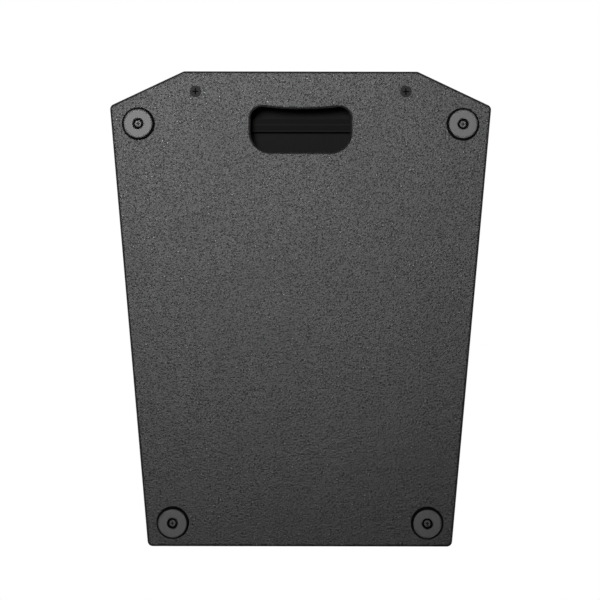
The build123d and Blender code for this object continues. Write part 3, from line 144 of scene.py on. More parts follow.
class Graph:
    """The node tree of one material."""

    def __init__(self, name: str) -> None:
        """Start an empty material.

        Args:
            name: The material's name, which gets this file's own start.
        """
        self.material = bpy.data.materials.new(OWN + name)
        self.material.use_nodes = True
        self.tree = self.material.node_tree
        self.tree.nodes.clear()
        self.position = self.node("ShaderNodeTexCoord").outputs["Object"]

    def node(self, kind: str, settings: dict | None = None, inputs: dict | None = None) -> bpy.types.Node:
        """Add a node.

        Args:
            kind: The node's type.
            settings: Its properties, set before its sockets.
            inputs: Values, signals or sockets, by socket name or number.

        Returns:
            The node.
        """
        made = self.tree.nodes.new(kind)
        for key, value in (settings or {}).items():
            setattr(made, key, value)
        for key, value in (inputs or {}).items():
            if isinstance(value, Signal):
                value = value.socket
            if isinstance(value, bpy.types.NodeSocket):
                self.tree.links.new(value, made.inputs[key])
            else:
                made.inputs[key].default_value = value
        return made

    def noise(
        self, size: float, detail: float = 2.0, rough: float = 0.5, stretch: Sequence[float] = (1, 1, 1)
    ) -> Signal:
        """Cloudy noise.

        Args:
            size: Width of a feature, in metres.
            detail: Octaves of finer noise.
            rough: Share of each finer octave.
            stretch: How much longer a feature is along X, Y and Z.

        Returns:
            The noise, about 0.5 in the middle.
        """
        vector = self.place(scale=tuple(1 / s for s in stretch))
        inputs = {"Vector": vector, "Scale": 1 / size, "Detail": detail, "Roughness": rough}
        return Signal(self, self.node("ShaderNodeTexNoise", {}, inputs).outputs[0])

    def cells(self, size: float, output: str = "Distance", feature: str = "F1") -> Signal:
        """Irregular cells.

        Args:
            size: Width of a cell, in metres.
            output: Distance to the cell's point, or Color for a random value of each cell.
            feature: Which distance is given.

        Returns:
            The chosen output.
        """
        inputs = {"Vector": self.position, "Scale": 1 / size}
        return Signal(self, self.node("ShaderNodeTexVoronoi", {"feature": feature}, inputs).outputs[output])

    def place(
        self, scale: Sequence[float] = (1, 1, 1), centre: Sequence[float] = (0, 0, 0)
    ) -> bpy.types.NodeSocket:
        """Object coordinates, moved so that centre is the zero point, then scaled.

        Args:
            scale: The scale of each axis.
            centre: The place that becomes the zero point.

        Returns:
            The coordinates.
        """
        moved = self.node(
            "ShaderNodeVectorMath", {"operation": "SUBTRACT"}, {0: self.position, 1: tuple(centre)}
        )
        inputs = {"Vector": moved.outputs[0], "Scale": tuple(scale)}
        return self.node("ShaderNodeMapping", {"vector_type": "POINT"}, inputs).outputs[0]

    def dot(self, vector: bpy.types.NodeSocket, direction: Sequence[float]) -> Signal:
        """How far a vector reaches along a direction.

        Args:
            vector: The vector.
            direction: The direction, one unit long.

        Returns:
            The length.
        """
        inputs = {0: vector, 1: tuple(direction)}
        made = self.node("ShaderNodeVectorMath", {"operation": "DOT_PRODUCT"}, inputs)
        return Signal(self, made.outputs["Value"])

    def along(self, direction: Sequence[float], centre: Sequence[float] = (0, 0, 0)) -> Signal:
        """Distance in metres along a direction, from a centre."""
        return self.dot(self.place(centre=centre), direction)

    def mix(self, mask: Signal | float, first: Any, second: Any) -> bpy.types.NodeSocket:
        """Mix two colours.

        Args:
            mask: 0 gives the first and 1 gives the second.
            first: A colour or a colour's socket.
            second: A colour or a colour's socket.

        Returns:
            The mixed colour.
        """
        paints = [(*c, 1.0) if isinstance(c, tuple) else c for c in (first, second)]
        inputs = {0: mask, MIX_FIRST: paints[0], MIX_SECOND: paints[1]}
        return self.node("ShaderNodeMix", {"data_type": "RGBA"}, inputs).outputs[MIX_RESULT]

    def down(self) -> Signal:
        """How far the surface faces down: 1 on an underside and 0 on a wall."""
        return self.dot(self.node("ShaderNodeNewGeometry").outputs["Normal"], (0.0, 0.0, -1.0))

    def bump(self, height: Signal, depth: float, strength: float = 1.0) -> bpy.types.NodeSocket:
        """A normal from a height of 0 to 1 that stands for a depth in metres."""
        made = self.node("ShaderNodeBump", {}, {"Height": height, "Distance": depth, "Strength": strength})
        return made.outputs["Normal"]

    def finish(self, **sockets: Any) -> bpy.types.Material:
        """Close the graph with a Principled shader.

        Args:
            sockets: Its inputs, with underscores for the spaces in their names.

        Returns:
            The material.
        """
        inputs = {}
        for key, value in sockets.items():
            is_colour = isinstance(value, tuple) and len(value) == 3
            inputs[key.replace("_", " ")] = (*value, 1.0) if is_colour else value
        shader = self.node("ShaderNodeBsdfPrincipled", {}, inputs)
        self.node("ShaderNodeOutputMaterial", {}, {"Surface": shader.outputs[0]})
        return self.material


@dataclass(frozen=True)
class Finish:
    """What every finish has: a name, a colour and a roughness."""

    name: str
    colour: Colour
    roughness: float = 0.5
    shine: float = field(default=0.5, kw_only=True)

    def graph_material(self) -> bpy.types.Material:
        """Build the material."""
        raise NotImplementedError

    def material(self) -> bpy.types.Material:
        """The finish's material, built once."""
        return bpy.data.materials.get(OWN + self.name) or self.graph_material()

    def shade(self, share: float) -> Colour:
        """The colour, made darker or lighter."""
        return tuple(min(1.0, c * share) for c in self.colour)

    def close(self, g: Graph, base: Any, rough: Any, normal: Any, **others: Any) -> bpy.types.Material:
        """Close a graph with this finish's shine."""
        return g.finish(
            Base_Color=base, Roughness=rough, Normal=normal, Specular_IOR_Level=self.shine, **others
        )


@dataclass(frozen=True)
class BoardCoat(Finish):
    """The cabinet's sprayed coat: pits with painted shade, small grains with painted glints, a faint mottle
    and painted shade on the rounded edges.
    """

    grain: float = 2.0 * MM
    spark: float = 2.0 * MM
    depth: float = 0.52 * MM
    pit_range: Point = (0.28, 0.38)
    spark_range: Point = (0.64, 0.71)
    rounding: Point = (0.90, 0.985)
    cloud: float = 60 * MM
    painted_glint_tone: float = 4.5
    pit_shade_tone: float = 0.15
    edge_shade_tone: float = 0.16

    def graph_material(self) -> bpy.types.Material:
        """Build the material.

        Returns:
            The material.
        """
        g = Graph(self.name)
        coarse = g.noise(self.grain, 1.5, 0.55)
        fine = g.noise(self.spark, 1.0, 0.5)
        mottle = g.noise(self.cloud, 3.0, 0.6).step(0.3, 0.7)
        lumps = coarse.step(0.30, 0.72)
        pits = 1 - coarse.step(*self.pit_range)
        grains_with_painted_glint = fine.step(*self.spark_range) * (1 - pits)
        edge = self.edge(g)
        height = lumps * 0.6 + fine * 0.4 + grains_with_painted_glint * 0.35 - pits * 0.5
        base = g.mix(lumps, self.shade(0.70), self.shade(1.25))
        base = g.mix(mottle * 0.20, base, self.shade(1.5))
        # painted shade in the pits, on top of their bump
        base = g.mix(pits * 0.6, base, self.shade(self.pit_shade_tone))
        # painted highlight: the raised grains get a glint painted into their colour
        base = g.mix(grains_with_painted_glint, base, self.shade(self.painted_glint_tone))
        # painted shade: the rounded edges are darkened in the colour
        base = g.mix(edge, base, self.shade(self.edge_shade_tone))
        rough = self.roughness + (1 - lumps) * 0.03 + pits * 0.08 - grains_with_painted_glint * 0.15
        rough = rough + mottle * 0.03 + edge * 0.4
        return self.close(g, base, rough.clamp(), g.bump(height, self.depth, 0.9))

    def edge(self, g: Graph) -> Signal:
        """1 on the rounding between the underside and the walls, where the coat gets painted shade."""
        down = g.down()
        return down.step(0.02, 0.10) * (1 - down.step(*self.rounding))


@dataclass(frozen=True)
class Plywood(Finish):
    """A board of glued plies: dark glue lines and end grain on its edges, long grain on its faces."""

    axis: Sequence[float] = (0, 1, 0)
    centre: Sequence[float] = (0, 0, 0)
    thickness: float = 15 * MM
    plies: int = 5
    line: float = 0.45
    waver: float = 30 * MM
    grain: float = 1.6 * MM
    grain_length: float = 14.0
    pore: float = 0.7 * MM
    depth: float = 0.25 * MM

    def graph_material(self) -> bpy.types.Material:
        """Build the material.

        Returns:
            The material.
        """
        g = Graph(self.name)
        layer = g.along(self.axis, self.centre) / (self.thickness / self.plies) + 100.0
        layer = layer + (g.noise(self.waver, 2.0, 0.5) - 0.5) * 0.12
        inside = layer.fraction()
        glue = 1 - inside.step(0.0, 0.10) * (1 - inside.step(0.90, 1.0))
        odd = (layer * 0.5).fraction().above(0.5)
        long_axis = tuple(1.0 if abs(a) > 0.5 else self.grain_length for a in self.axis)
        grain = g.noise(self.grain, 3.0, 0.6, long_axis)
        pores = g.noise(self.pore, 2.0, 0.5)
        tone = g.mix(odd * 0.5 + grain * 0.5, self.shade(0.68), self.shade(1.25))
        tone = g.mix(glue * self.line, tone, self.shade(0.25))
        tone = g.mix(pores.step(0.62, 0.8) * 0.5, tone, self.shade(1.9))
        height = grain * 0.5 - glue * 0.5 + pores * 0.3
        return self.close(g, tone, self.roughness + grain * 0.15, g.bump(height, self.depth, 0.8))


@dataclass(frozen=True)
class Moulding(Finish):
    """Moulded plastic or rubber: a fine spark-eroded grain and faint handling marks."""

    grain: float = 0.35 * MM
    depth: float = 0.04 * MM
    bloom: float = 0.25
    coat: float = 0.0
    cloud: float = 9 * MM

    def graph_material(self) -> bpy.types.Material:
        """Build the material.

        Returns:
            The material.
        """
        g = Graph(self.name)
        fine = g.noise(self.grain, 2.0, 0.6)
        cloud = g.noise(self.cloud, 3.0, 0.6)
        base = g.mix(cloud.step(0.35, 0.75) * self.bloom, self.colour, self.shade(1.7))
        base = g.mix(fine * 0.3, base, self.shade(0.6))
        rough = self.roughness + (cloud - 0.5) * 0.14 + (fine - 0.5) * 0.06
        return self.close(g, base, rough, g.bump(fine, self.depth, 0.7), Coat_Weight=self.coat)


@dataclass(frozen=True)
class FootRubber(Finish):
    """Moulded rubber, scuffed pale on its lower face, with painted shade on its tapered side and in its
    bore.
    """

    flank_shade_tone: float = 0.015
    flat: Point = (0.45, 0.70)
    bore: float = 2.0 * MM
    grain: float = 0.8 * MM
    depth: float = 0.012 * MM
    scuff: float = 3.2 * MM
    scuff_stretch: Sequence[float] = (1.0, 4.0, 1.0)

    def graph_material(self) -> bpy.types.Material:
        """Build the material.

        Returns:
            The material.
        """
        g = Graph(self.name)
        fine = g.noise(self.grain, 2.0, 0.6)
        scuff = g.noise(self.scuff, 3.0, 0.6, self.scuff_stretch)
        sunk = g.along((0, 0, 1)).above(self.bore)
        shade_free_face = g.down().step(*self.flat) * (1 - sunk)
        base = g.mix(scuff.step(0.40, 0.70) * 0.35, self.colour, self.shade(1.6))
        base = g.mix(fine * 0.25, base, self.shade(0.7))
        # painted shade: the tapered side and the bore are painted near black
        base = g.mix(shade_free_face, self.shade(self.flank_shade_tone), base)
        rough = self.roughness + (scuff - 0.5) * 0.12 + (1 - shade_free_face) * 0.6
        return self.close(g, base, rough.clamp(), g.bump(fine, self.depth, 0.7))


@dataclass(frozen=True)
class Metal(Finish):
    """Bare, plated or oxidised metal with fine drawn scratches and clouded wear."""

    metallic: float = 1.0
    scratch: Sequence[float] = (1, 1, 1)
    grain: float = 0.25 * MM
    depth: float = 0.012 * MM
    stain: float = 0.25
    cloud: float = 6 * MM

    def graph_material(self) -> bpy.types.Material:
        """Build the material.

        Returns:
            The material.
        """
        g = Graph(self.name)
        lines = g.noise(self.grain, 3.0, 0.6, self.scratch)
        cloud = g.noise(self.cloud, 3.0, 0.6)
        base = g.mix(cloud.step(0.4, 0.8) * self.stain, self.colour, self.shade(0.55))
        base = g.mix(lines.step(0.55, 0.8) * 0.2, base, self.shade(1.25))
        rough = self.roughness + (cloud - 0.5) * 0.16 + (lines - 0.5) * 0.12
        return self.close(g, base, rough, g.bump(lines, self.depth, 0.6), Metallic=self.metallic)


@dataclass(frozen=True)
class SunkHead(Finish):
    """A screw head on the underside, with painted shade in its recess."""

    level: float = 0.0
    grain: float = 1.2 * MM
    depth: float = 0.15 * MM
    recess_shade_tone: float = 0.06

    def graph_material(self) -> bpy.types.Material:
        """Build the material.

        Returns:
            The material.
        """
        g = Graph(self.name)
        cloud = g.noise(self.grain, 2.0, 0.6)
        sunk = (g.along((0, 0, 1)) - self.level).above(0.0)
        base = g.mix(cloud.step(0.35, 0.7), self.colour, self.shade(1.7))
        # painted shade in the recess
        base = g.mix(sunk, base, self.shade(self.recess_shade_tone))
        rough = self.roughness + (cloud - 0.5) * 0.2 + sunk * 0.4
        return self.close(g, base, rough.clamp(), g.bump(cloud, self.depth, 0.8))


@dataclass(frozen=True)
class PowderCoat(Finish):
    """Powder coat on sheet metal: a soft orange peel with a sparse grit."""

    peel: float = 1.1 * MM
    grit_share: float = 0.3
    cloud: float = 25 * MM
    depth: float = 0.08 * MM

    def graph_material(self) -> bpy.types.Material:
        """Build the material.

        Returns:
            The material.
        """
        g = Graph(self.name)
        peel = g.noise(self.peel, 1.0, 0.4)
        grit = g.noise(self.peel * self.grit_share, 2.0, 0.5)
        cloud = g.noise(self.cloud, 3.0, 0.6)
        base = g.mix(grit.step(0.6, 0.75) * 0.4, self.colour, self.shade(1.9))
        base = g.mix(cloud * 0.3, base, self.shade(0.7))
        rough = self.roughness + (cloud - 0.5) * 0.12 + (grit - 0.5) * 0.1
        return self.close(g, base, rough, g.bump(peel * 0.7 + grit * 0.3, self.depth, 0.8))


@dataclass(frozen=True)
class Weave(Finish):
    """Woven cloth lying across the driver's axis: two crossing sets of threads under a resin coat."""

    pitch: float = 0.9 * MM
    tilt: float = 0.0
    resin: float = 0.0
    fibre: float = 0.4 * MM
    depth: float = 0.12 * MM

    def graph_material(self) -> bpy.types.Material:
        """Build the material.

        Returns:
            The material.
        """
        g = Graph(self.name)
        turn = 2 * math.pi / self.pitch
        up = (0, math.cos(self.tilt), math.sin(self.tilt))
        warp = (g.along((1, 0, 0)) * turn).sine()
        weft = (g.along(up) * turn).sine()
        over = (warp * weft).step(-0.6, 0.6)
        fibre = g.noise(self.fibre, 3.0, 0.6)
        base = g.mix(over, self.shade(0.55), self.shade(1.3))
        base = g.mix(fibre * 0.4, base, self.shade(0.8))
        normal = g.bump(over * 0.7 + fibre * 0.3, self.depth, 0.9)
        return self.close(g, base, self.roughness + fibre * 0.15, normal, Coat_Weight=self.resin)


@dataclass(frozen=True)
class Pulp(Finish):
    """Pressed paper: felted fibres in every direction, with a thin damping coat."""

    fibre: float = 0.5 * MM
    fibre_length: float = 9.0
    lump: float = 5 * MM
    depth: float = 0.2 * MM

    def graph_material(self) -> bpy.types.Material:
        """Build the material.

        Returns:
            The material.
        """
        g = Graph(self.name)
        across = g.noise(self.fibre, 3.0, 0.65, (self.fibre_length, 1, 1))
        along = g.noise(self.fibre, 3.0, 0.65, (1, self.fibre_length, self.fibre_length))
        lumps = g.noise(self.lump, 3.0, 0.6)
        fibres = (across.step(0.5, 0.75) + along.step(0.5, 0.75)).clamp()
        base = g.mix(fibres * 0.5, self.shade(0.8), self.shade(1.9))
        base = g.mix(lumps * 0.4, base, self.shade(0.7))
        normal = g.bump(fibres * 0.5 + lumps * 0.5, self.depth, 0.8)
        return self.close(g, base, self.roughness + lumps * 0.15, normal)


@dataclass(frozen=True)
class OpenFoam(Finish):
    """Open cell foam or fibre fill: a net of thin struts round small pores, with painted shade in the
    pores.
    """

    cell: float = 1.3 * MM
    small_share: float = 0.55
    cloud: float = 18 * MM
    depth: float = 0.6 * MM

    def graph_material(self) -> bpy.types.Material:
        """Build the material.

        Returns:
            The material.
        """
        g = Graph(self.name)
        wall = g.cells(self.cell, "Distance", "DISTANCE_TO_EDGE").step(0.02, 0.22)
        small = g.cells(self.cell * self.small_share).step(0.1, 0.6)
        cloud = g.noise(self.cloud, 3.0, 0.6)
        # painted shade: the pores between the struts are painted dark
        base = g.mix(wall, self.shade(1.7), self.shade(0.35))
        base = g.mix(cloud * 0.4, base, self.shade(0.8))
        return self.close(g, base, self.roughness, g.bump(1 - wall * small, self.depth, 1.0))


@dataclass(frozen=True)
class Laminate(Finish):
    """A circuit board: solder mask over copper runs, with tinned pads."""

    run: float = 2.4 * MM
    column_share: float = 1.6
    bend: float = 9 * MM
    pad: float = 4.2 * MM
    depth: float = 0.05 * MM
    tin: Colour = (0.62, 0.60, 0.55)

    def graph_material(self) -> bpy.types.Material:
        """Build the material.

        Returns:
            The material.
        """
        g = Graph(self.name)
        rows = (g.along((0, 0, 1)) / self.run + g.cells(self.bend, "Color") * 0.4).fraction()
        columns = (g.along((1, 0, 0)) / (self.run * self.column_share)).fraction()
        runs = rows.step(0.30, 0.38) * (1 - rows.step(0.62, 0.70))
        pads = (1 - g.cells(self.pad).step(0.10, 0.14)) * columns.above(0.3)
        base = g.mix(runs * 0.6, self.colour, self.shade(1.8))
        base = g.mix(pads, base, self.tin)
        normal = g.bump(runs + pads, self.depth, 0.7)
        return self.close(g, base, self.roughness, normal, Metallic=pads * 0.8)


@dataclass(frozen=True)
class Glow(Finish):
    """A clear moulding lit from behind, its glow clouded at random."""

    power: float = 1.5
    cloud: float = 0.9 * MM

    def graph_material(self) -> bpy.types.Material:
        """Build the material.

        Returns:
            The material.
        """
        g = Graph(self.name)
        cloud = g.noise(self.cloud, 2.0, 0.5)
        base = g.mix(cloud, self.shade(0.7), self.colour)
        return g.finish(
            Base_Color=base, Roughness=self.roughness + cloud * 0.1, Emission_Color=base,
            Emission_Strength=self.power,
        )


# ---------------------------------------------------------------- measuring and dressing
def corners(node: str) -> list[Vector]:
    """Every vertex of a CAD node, in the row frame."""
    return [v.co for v in frame["nodes"][node].data.vertices]


def span(node: str, axis: Vector) -> tuple[float, float]:
    """Lowest and highest place of a CAD node along a direction."""
    reach = [point.dot(axis) for point in corners(node)]
    return min(reach), max(reach)


def limits(node: str) -> tuple[Vector, Vector]:
    """The lowest and the highest corner of a CAD node's box."""
    low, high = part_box(node)
    return Vector(low), Vector(high)


def middle(node: str) -> Vector:
    """The middle of a CAD node's box."""
    low, high = limits(node)
    return (low + high) / 2


def dress(paint: "Paint", *nodes: str) -> None:
    """Give CAD nodes a finish and report each.

    Args:
        paint: The finish.
        nodes: The nodes' names.
    """
    for node in nodes:
        piece = frame["nodes"][node]
        if not piece.material_slots:
            piece.data.materials.append(paint.value.material())
        for slot in piece.material_slots:
            slot.material = paint.value.material()
        LOG.info("%s: %s", node, paint.value.name)


def add_object(name: str, data: bpy.types.ID) -> bpy.types.Object:
    """Put a mesh, lamp or camera into the scene.

    Args:
        name: The object's name.
        data: What it shows.

    Returns:
        The object.
    """
    made = bpy.data.objects.new(name, data)
    bpy.context.scene.collection.objects.link(made)
    return made


@dataclass
class Piece:
    """A mesh under construction, and how it joins the object."""

    name: str
    finish: Finish
    body: str = "cabinet"
    mesh: bmesh.types.BMesh = field(default_factory=bmesh.new)

    def settle(
        self, place: Matrix | None = None, sharp: float = 35.0, recalculate: bool = True, ride: bool = True
    ) -> bpy.types.Object:
        """Turn the mesh into a finished object at the origin.

        Args:
            place: Where the mesh goes in the row frame.
            sharp: Edges that turn by more than this angle, in degrees, stay sharp.
            recalculate: Turn the faces of a closed mesh outwards.
            ride: Let the piece move with its body.

        Returns:
            The object.
        """
        bmesh.ops.remove_doubles(self.mesh, verts=self.mesh.verts, dist=MERGE)
        if recalculate:
            bmesh.ops.recalc_face_normals(self.mesh, faces=self.mesh.faces)
        if place is not None:
            bmesh.ops.transform(self.mesh, matrix=place, verts=self.mesh.verts)
        for face in self.mesh.faces:
            face.smooth = True
        data = bpy.data.meshes.new(self.name)
        self.mesh.to_mesh(data)
        self.mesh.free()
        data.set_sharp_from_angle(angle=math.radians(sharp))
        data.materials.append(self.finish.material())
        made = add_object(self.name, data)
        if ride:
            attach(made, self.body)
        LOG.info("%s: %d faces", self.name, len(data.polygons))
        return made


def spin(mesh: bmesh.types.BMesh, profile: Sequence[Point], steps: int, closed: bool = True) -> None:
    """Turn a profile about Z.

    Args:
        mesh: The mesh that gets the shape.
        profile: Radius and height of each corner.
        steps: Faces round the turn.
        closed: Join the last corner to the first.
    """
    rail = [mesh.verts.new((r, 0, h)) for r, h in profile]
    pairs = list(zip(rail, rail[1:] + rail[:1] if closed else rail[1:]))
    edges = [mesh.edges.new(pair) for pair in pairs]
    bmesh.ops.spin(
        mesh, geom=rail + edges, cent=(0, 0, 0), axis=(0, 0, 1), angle=2 * math.pi, steps=steps,
        use_merge=True,
    )


def round_edges(mesh: bmesh.types.BMesh, radius: float, segments: int = 2, angle: float = 40.0) -> None:
    """Bevel the sharp edges.

    Args:
        mesh: The mesh that is bevelled.
        radius: How far each edge is cut back.
        segments: Faces across each rounding.
        angle: Edges that turn by more than this, in degrees, are sharp.
    """
    limit = math.radians(angle)
    sharp = [e for e in mesh.edges if e.is_manifold and e.calc_face_angle(0.0) > limit]
    bmesh.ops.bevel(
        mesh, geom=sharp, offset=radius, segments=segments, profile=0.5, affect="EDGES", material=-1,
        clamp_overlap=True,
    )


@dataclass(frozen=True)
class Slope:
    """The grille's and the driver's own axes: X across, Y up the slope, Z out of it."""

    out: Vector = field(
        default_factory=lambda: Vector(
            next(j["axis"] for j in frame["joints"] if j["name"] == "cone_travel")
        ).normalized()
    )

    @property
    def up(self) -> Vector:
        """Unit vector up the slope."""
        return self.out.cross(Vector((1, 0, 0)))

    @property
    def tilt(self) -> float:
        """The slope's angle above the floor."""
        return math.atan2(self.up.z, self.up.y)

    def matrix(self, across: float = 0.0, up: float = 0.0, out: float = 0.0) -> Matrix:
        """From slope axes to the row frame, with the zero point at a place given along them."""
        turned = Matrix((Vector((1, 0, 0)), self.up, self.out)).transposed().to_4x4()
        return turned @ Matrix.Translation((across, up, out))


SLOPE = Slope()


def add_turned(mesh: bmesh.types.BMesh, profile: Sequence[Point], place: Matrix, steps: int = 24) -> None:
    """Add a turned solid whose profile starts and ends on its axis.

    Args:
        mesh: The mesh that gets the solid.
        profile: Radius and height of each corner.
        place: The axis is this place's Z axis.
        steps: Faces round the turn.
    """
    before = set(mesh.verts)
    spin(mesh, profile, steps, closed=False)
    bmesh.ops.transform(mesh, matrix=place, verts=[v for v in mesh.verts if v not in before])


def join(mesh: bmesh.types.BMesh, part: bmesh.types.BMesh) -> list[bmesh.types.BMEdge]:
    """Move everything from one mesh into another.

    Args:
        mesh: The mesh that gets the part.
        part: The mesh that is used up.

    Returns:
        The edges that came with the part.
    """
    data = bpy.data.meshes.new("part")
    part.to_mesh(data)
    part.free()
    before = set(mesh.edges)
    mesh.from_mesh(data)
    bpy.data.meshes.remove(data)
    return [edge for edge in mesh.edges if edge not in before]


def move_points(mesh: bmesh.types.BMesh, geometry: Sequence[Any], shift: Sequence[float]) -> None:
    """Move the vertices among an operator's results."""
    moved = [item for item in geometry if isinstance(item, bmesh.types.BMVert)]
    bmesh.ops.translate(mesh, vec=shift, verts=moved)


def face_out(mesh: bmesh.types.BMesh) -> None:
    """Turn an open sheet's faces the same way, with most of them facing +Z.

    Args:
        mesh: The sheet, whose doubled vertices are merged first.
    """
    bmesh.ops.remove_doubles(mesh, verts=mesh.verts, dist=SHEET_MERGE)
    bmesh.ops.recalc_face_normals(mesh, faces=mesh.faces)
    if sum(face.normal.z * face.calc_area() for face in mesh.faces) < 0:
        bmesh.ops.reverse_faces(mesh, faces=mesh.faces)


def repeat(mesh: bmesh.types.BMesh, count: int, step: Vector) -> None:
    """Copy everything in a mesh in a row.

    Args:
        mesh: The mesh.
        count: How many there are in the end.
        step: From each one to the next.
    """
    source = mesh.verts[:] + mesh.edges[:] + mesh.faces[:]
    for index in range(1, count):
        copied = bmesh.ops.duplicate(mesh, geom=source)["geom"]
        move_points(mesh, copied, step * index)


# ---------------------------------------------------------------- finishes
class Paint(Enum):
    """Every finish on the wedge."""

    COAT = BoardCoat("sprayed_coat", (0.020, 0.0204, 0.0218), 0.48)
    PLY = Plywood("bare_plywood", (0.42, 0.27, 0.14), 0.6)
    # the pocket's boards: black paint, darkened further as painted shade inside the hand pocket
    POCKET_RAIL = Plywood("stained_ply_edge", (0.0085, 0.008, 0.0078), 0.8, plies=4, line=1.0, shine=0.06)
    POCKET_ROOF = Moulding("stained_board", (0.0060, 0.0060, 0.0064), 0.7, 1.4 * MM, 0.10 * MM, shine=0.07)
    RUBBER = FootRubber("foot_rubber", (0.10, 0.10, 0.102), 0.44, shine=0.15)
    FOOT_SCREW = SunkHead("foot_screw_steel", (0.05, 0.05, 0.052), 0.42, 4.1 * MM, shine=0.3)
    PANEL_SCREW = SunkHead("panel_screw_paint", (0.012, 0.012, 0.013), 0.62, 12.4 * MM, shine=0.11)
    BLACK_OXIDE = Metal(
        "black_oxide", (0.008, 0.008, 0.009), 0.62, 0.0, grain=1.6 * MM, depth=0.15 * MM, shine=0.16
    )
    STEEL_COAT = PowderCoat("grille_powder_coat", (0.016, 0.016, 0.018), 0.42)
    PLATE_COAT = PowderCoat("faceplate_powder_coat", (0.020, 0.020, 0.022), 0.5, 0.8 * MM)
    FOAM = OpenFoam("grille_foam_black", (0.020, 0.020, 0.021), 0.95)
    FILL = OpenFoam("polyester_fill", (0.52, 0.51, 0.47), 0.95, 2.6 * MM)
    CAST = Metal("cast_aluminium_black", (0.045, 0.045, 0.047), 0.5, 0.5, (1, 1, 1), 0.9 * MM, 0.08 * MM)
    GASKET = OpenFoam("gasket_foam", (0.030, 0.030, 0.031), 0.9, 0.7 * MM)
    PLATED = Metal("zinc_plated_iron", (0.62, 0.60, 0.52), 0.34, 1.0, (6, 1, 1))
    FERRITE = Metal("ferrite", (0.055, 0.053, 0.052), 0.6, 0.2, (1, 1, 1), 0.6 * MM, 0.06 * MM, 0.4)
    COIL = Metal("copper_winding", (0.72, 0.32, 0.16), 0.38, 1.0, (8, 8, 1), 0.4 * MM)
    PAPER = Pulp("cone_paper", (0.030, 0.029, 0.028), 0.7)
    CLOTH = Weave("surround_cloth", (0.035, 0.033, 0.030), 0.6, 0.9 * MM, SLOPE.tilt, 0.35)
    SPIDER = Weave("spider_cloth", (0.52, 0.36, 0.14), 0.7, 1.1 * MM, SLOPE.tilt, 0.15)
    HORN = Moulding("horn_moulding", (0.020, 0.020, 0.021), 0.40, 0.4 * MM, 0.05 * MM)
    TREBLE = Metal("machined_steel", (0.55, 0.55, 0.56), 0.30, 1.0, (8, 1, 1))
    CAP = Moulding("treble_cap", (0.025, 0.025, 0.027), 0.35, 0.4 * MM, 0.04 * MM)
    DOME = Moulding("dome_film", (0.62, 0.42, 0.12), 0.22, 0.6 * MM, 0.03 * MM, 0.3, 0.4)
    PORT = Moulding("port_moulding", (0.020, 0.020, 0.021), 0.48, 0.6 * MM, 0.06 * MM)
    ANODISED = Metal("black_anodised", (0.030, 0.030, 0.033), 0.40, 0.6, (1, 1, 10))
    CASE = Metal("module_case", (0.58, 0.58, 0.58), 0.38, 1.0, (1, 1, 9), 0.5 * MM)
    SHELL = Metal("nickel_shell", (0.48, 0.47, 0.45), 0.32, 1.0, (1, 1, 1), 0.5 * MM)
    BLACK_NYLON = Moulding("black_nylon", (0.015, 0.015, 0.016), 0.45)
    LATCH = Metal("latch_steel", (0.66, 0.66, 0.66), 0.30, 1.0, (6, 1, 1))
    GOLD = Metal("gilt_contacts", (0.92, 0.68, 0.28), 0.22, 1.0)
    ROCKER = Moulding("rocker_moulding", (0.018, 0.018, 0.019), 0.28, 0.6 * MM, 0.02 * MM)
    KNOB = Moulding("knob_moulding", (0.030, 0.030, 0.032), 0.52, 0.4 * MM, 0.05 * MM)
    SHAFT = Metal("turned_brass", (0.60, 0.56, 0.46), 0.30, 1.0, (9, 9, 1))
    BUTTON = Moulding("button_moulding", (0.16, 0.16, 0.165), 0.40, 0.5 * MM, 0.03 * MM)
    LIGHT = Glow("light_pipe", (0.16, 0.80, 0.30), 0.2, 1.2)
    BOARD = Laminate("circuit_laminate", (0.012, 0.085, 0.035), 0.38)
    PARTS = Moulding("component_case", (0.020, 0.020, 0.028), 0.35, 1.6 * MM, 0.05 * MM, 0.7)
    LEAD = Moulding("lead_sleeve", (0.045, 0.012, 0.010), 0.50, 1.2 * MM, 0.15 * MM)
    INK = Moulding("panel_ink", (0.62, 0.62, 0.60), 0.55, 0.3 * MM, 0.01 * MM, 0.2)


class Body(Enum):
    """The bodies that new pieces belong to."""

    CABINET = "cabinet"
    CONE = "cone_assembly"
    KNOB = "level_control"


# ---------------------------------------------------------------- the wedge's pieces
@dataclass
class Cabinet:
    """The coated plywood box with its pocket and inner woodwork."""

    def build(self) -> None:
        """Dress the boards."""
        dress(
            Paint.COAT, "front_panel", "side_panel_left", "side_panel_right", "corner_panel_left",
            "corner_panel_right", "top_panel", "base_panel", "rear_panel",
        )
        dress(Paint.PLY, "battens", "cabinet_brace")
        dress(Paint.POCKET_ROOF, "baffle", "pocket_boards", "pocket_roof")
        dress(Paint.POCKET_RAIL, "pocket_rail")


@dataclass
class Feet:
    """Four turned rubber feet and the hardware on the base."""

    def build(self) -> None:
        """Dress the feet and the base's screws."""
        dress(Paint.RUBBER, "rubber_feet")
        dress(Paint.FOOT_SCREW, "foot_screws")
        dress(Paint.PANEL_SCREW, "panel_screws")
        dress(Paint.BLACK_OXIDE, "grille_screws", "faceplate_screws", "driver_bolts")


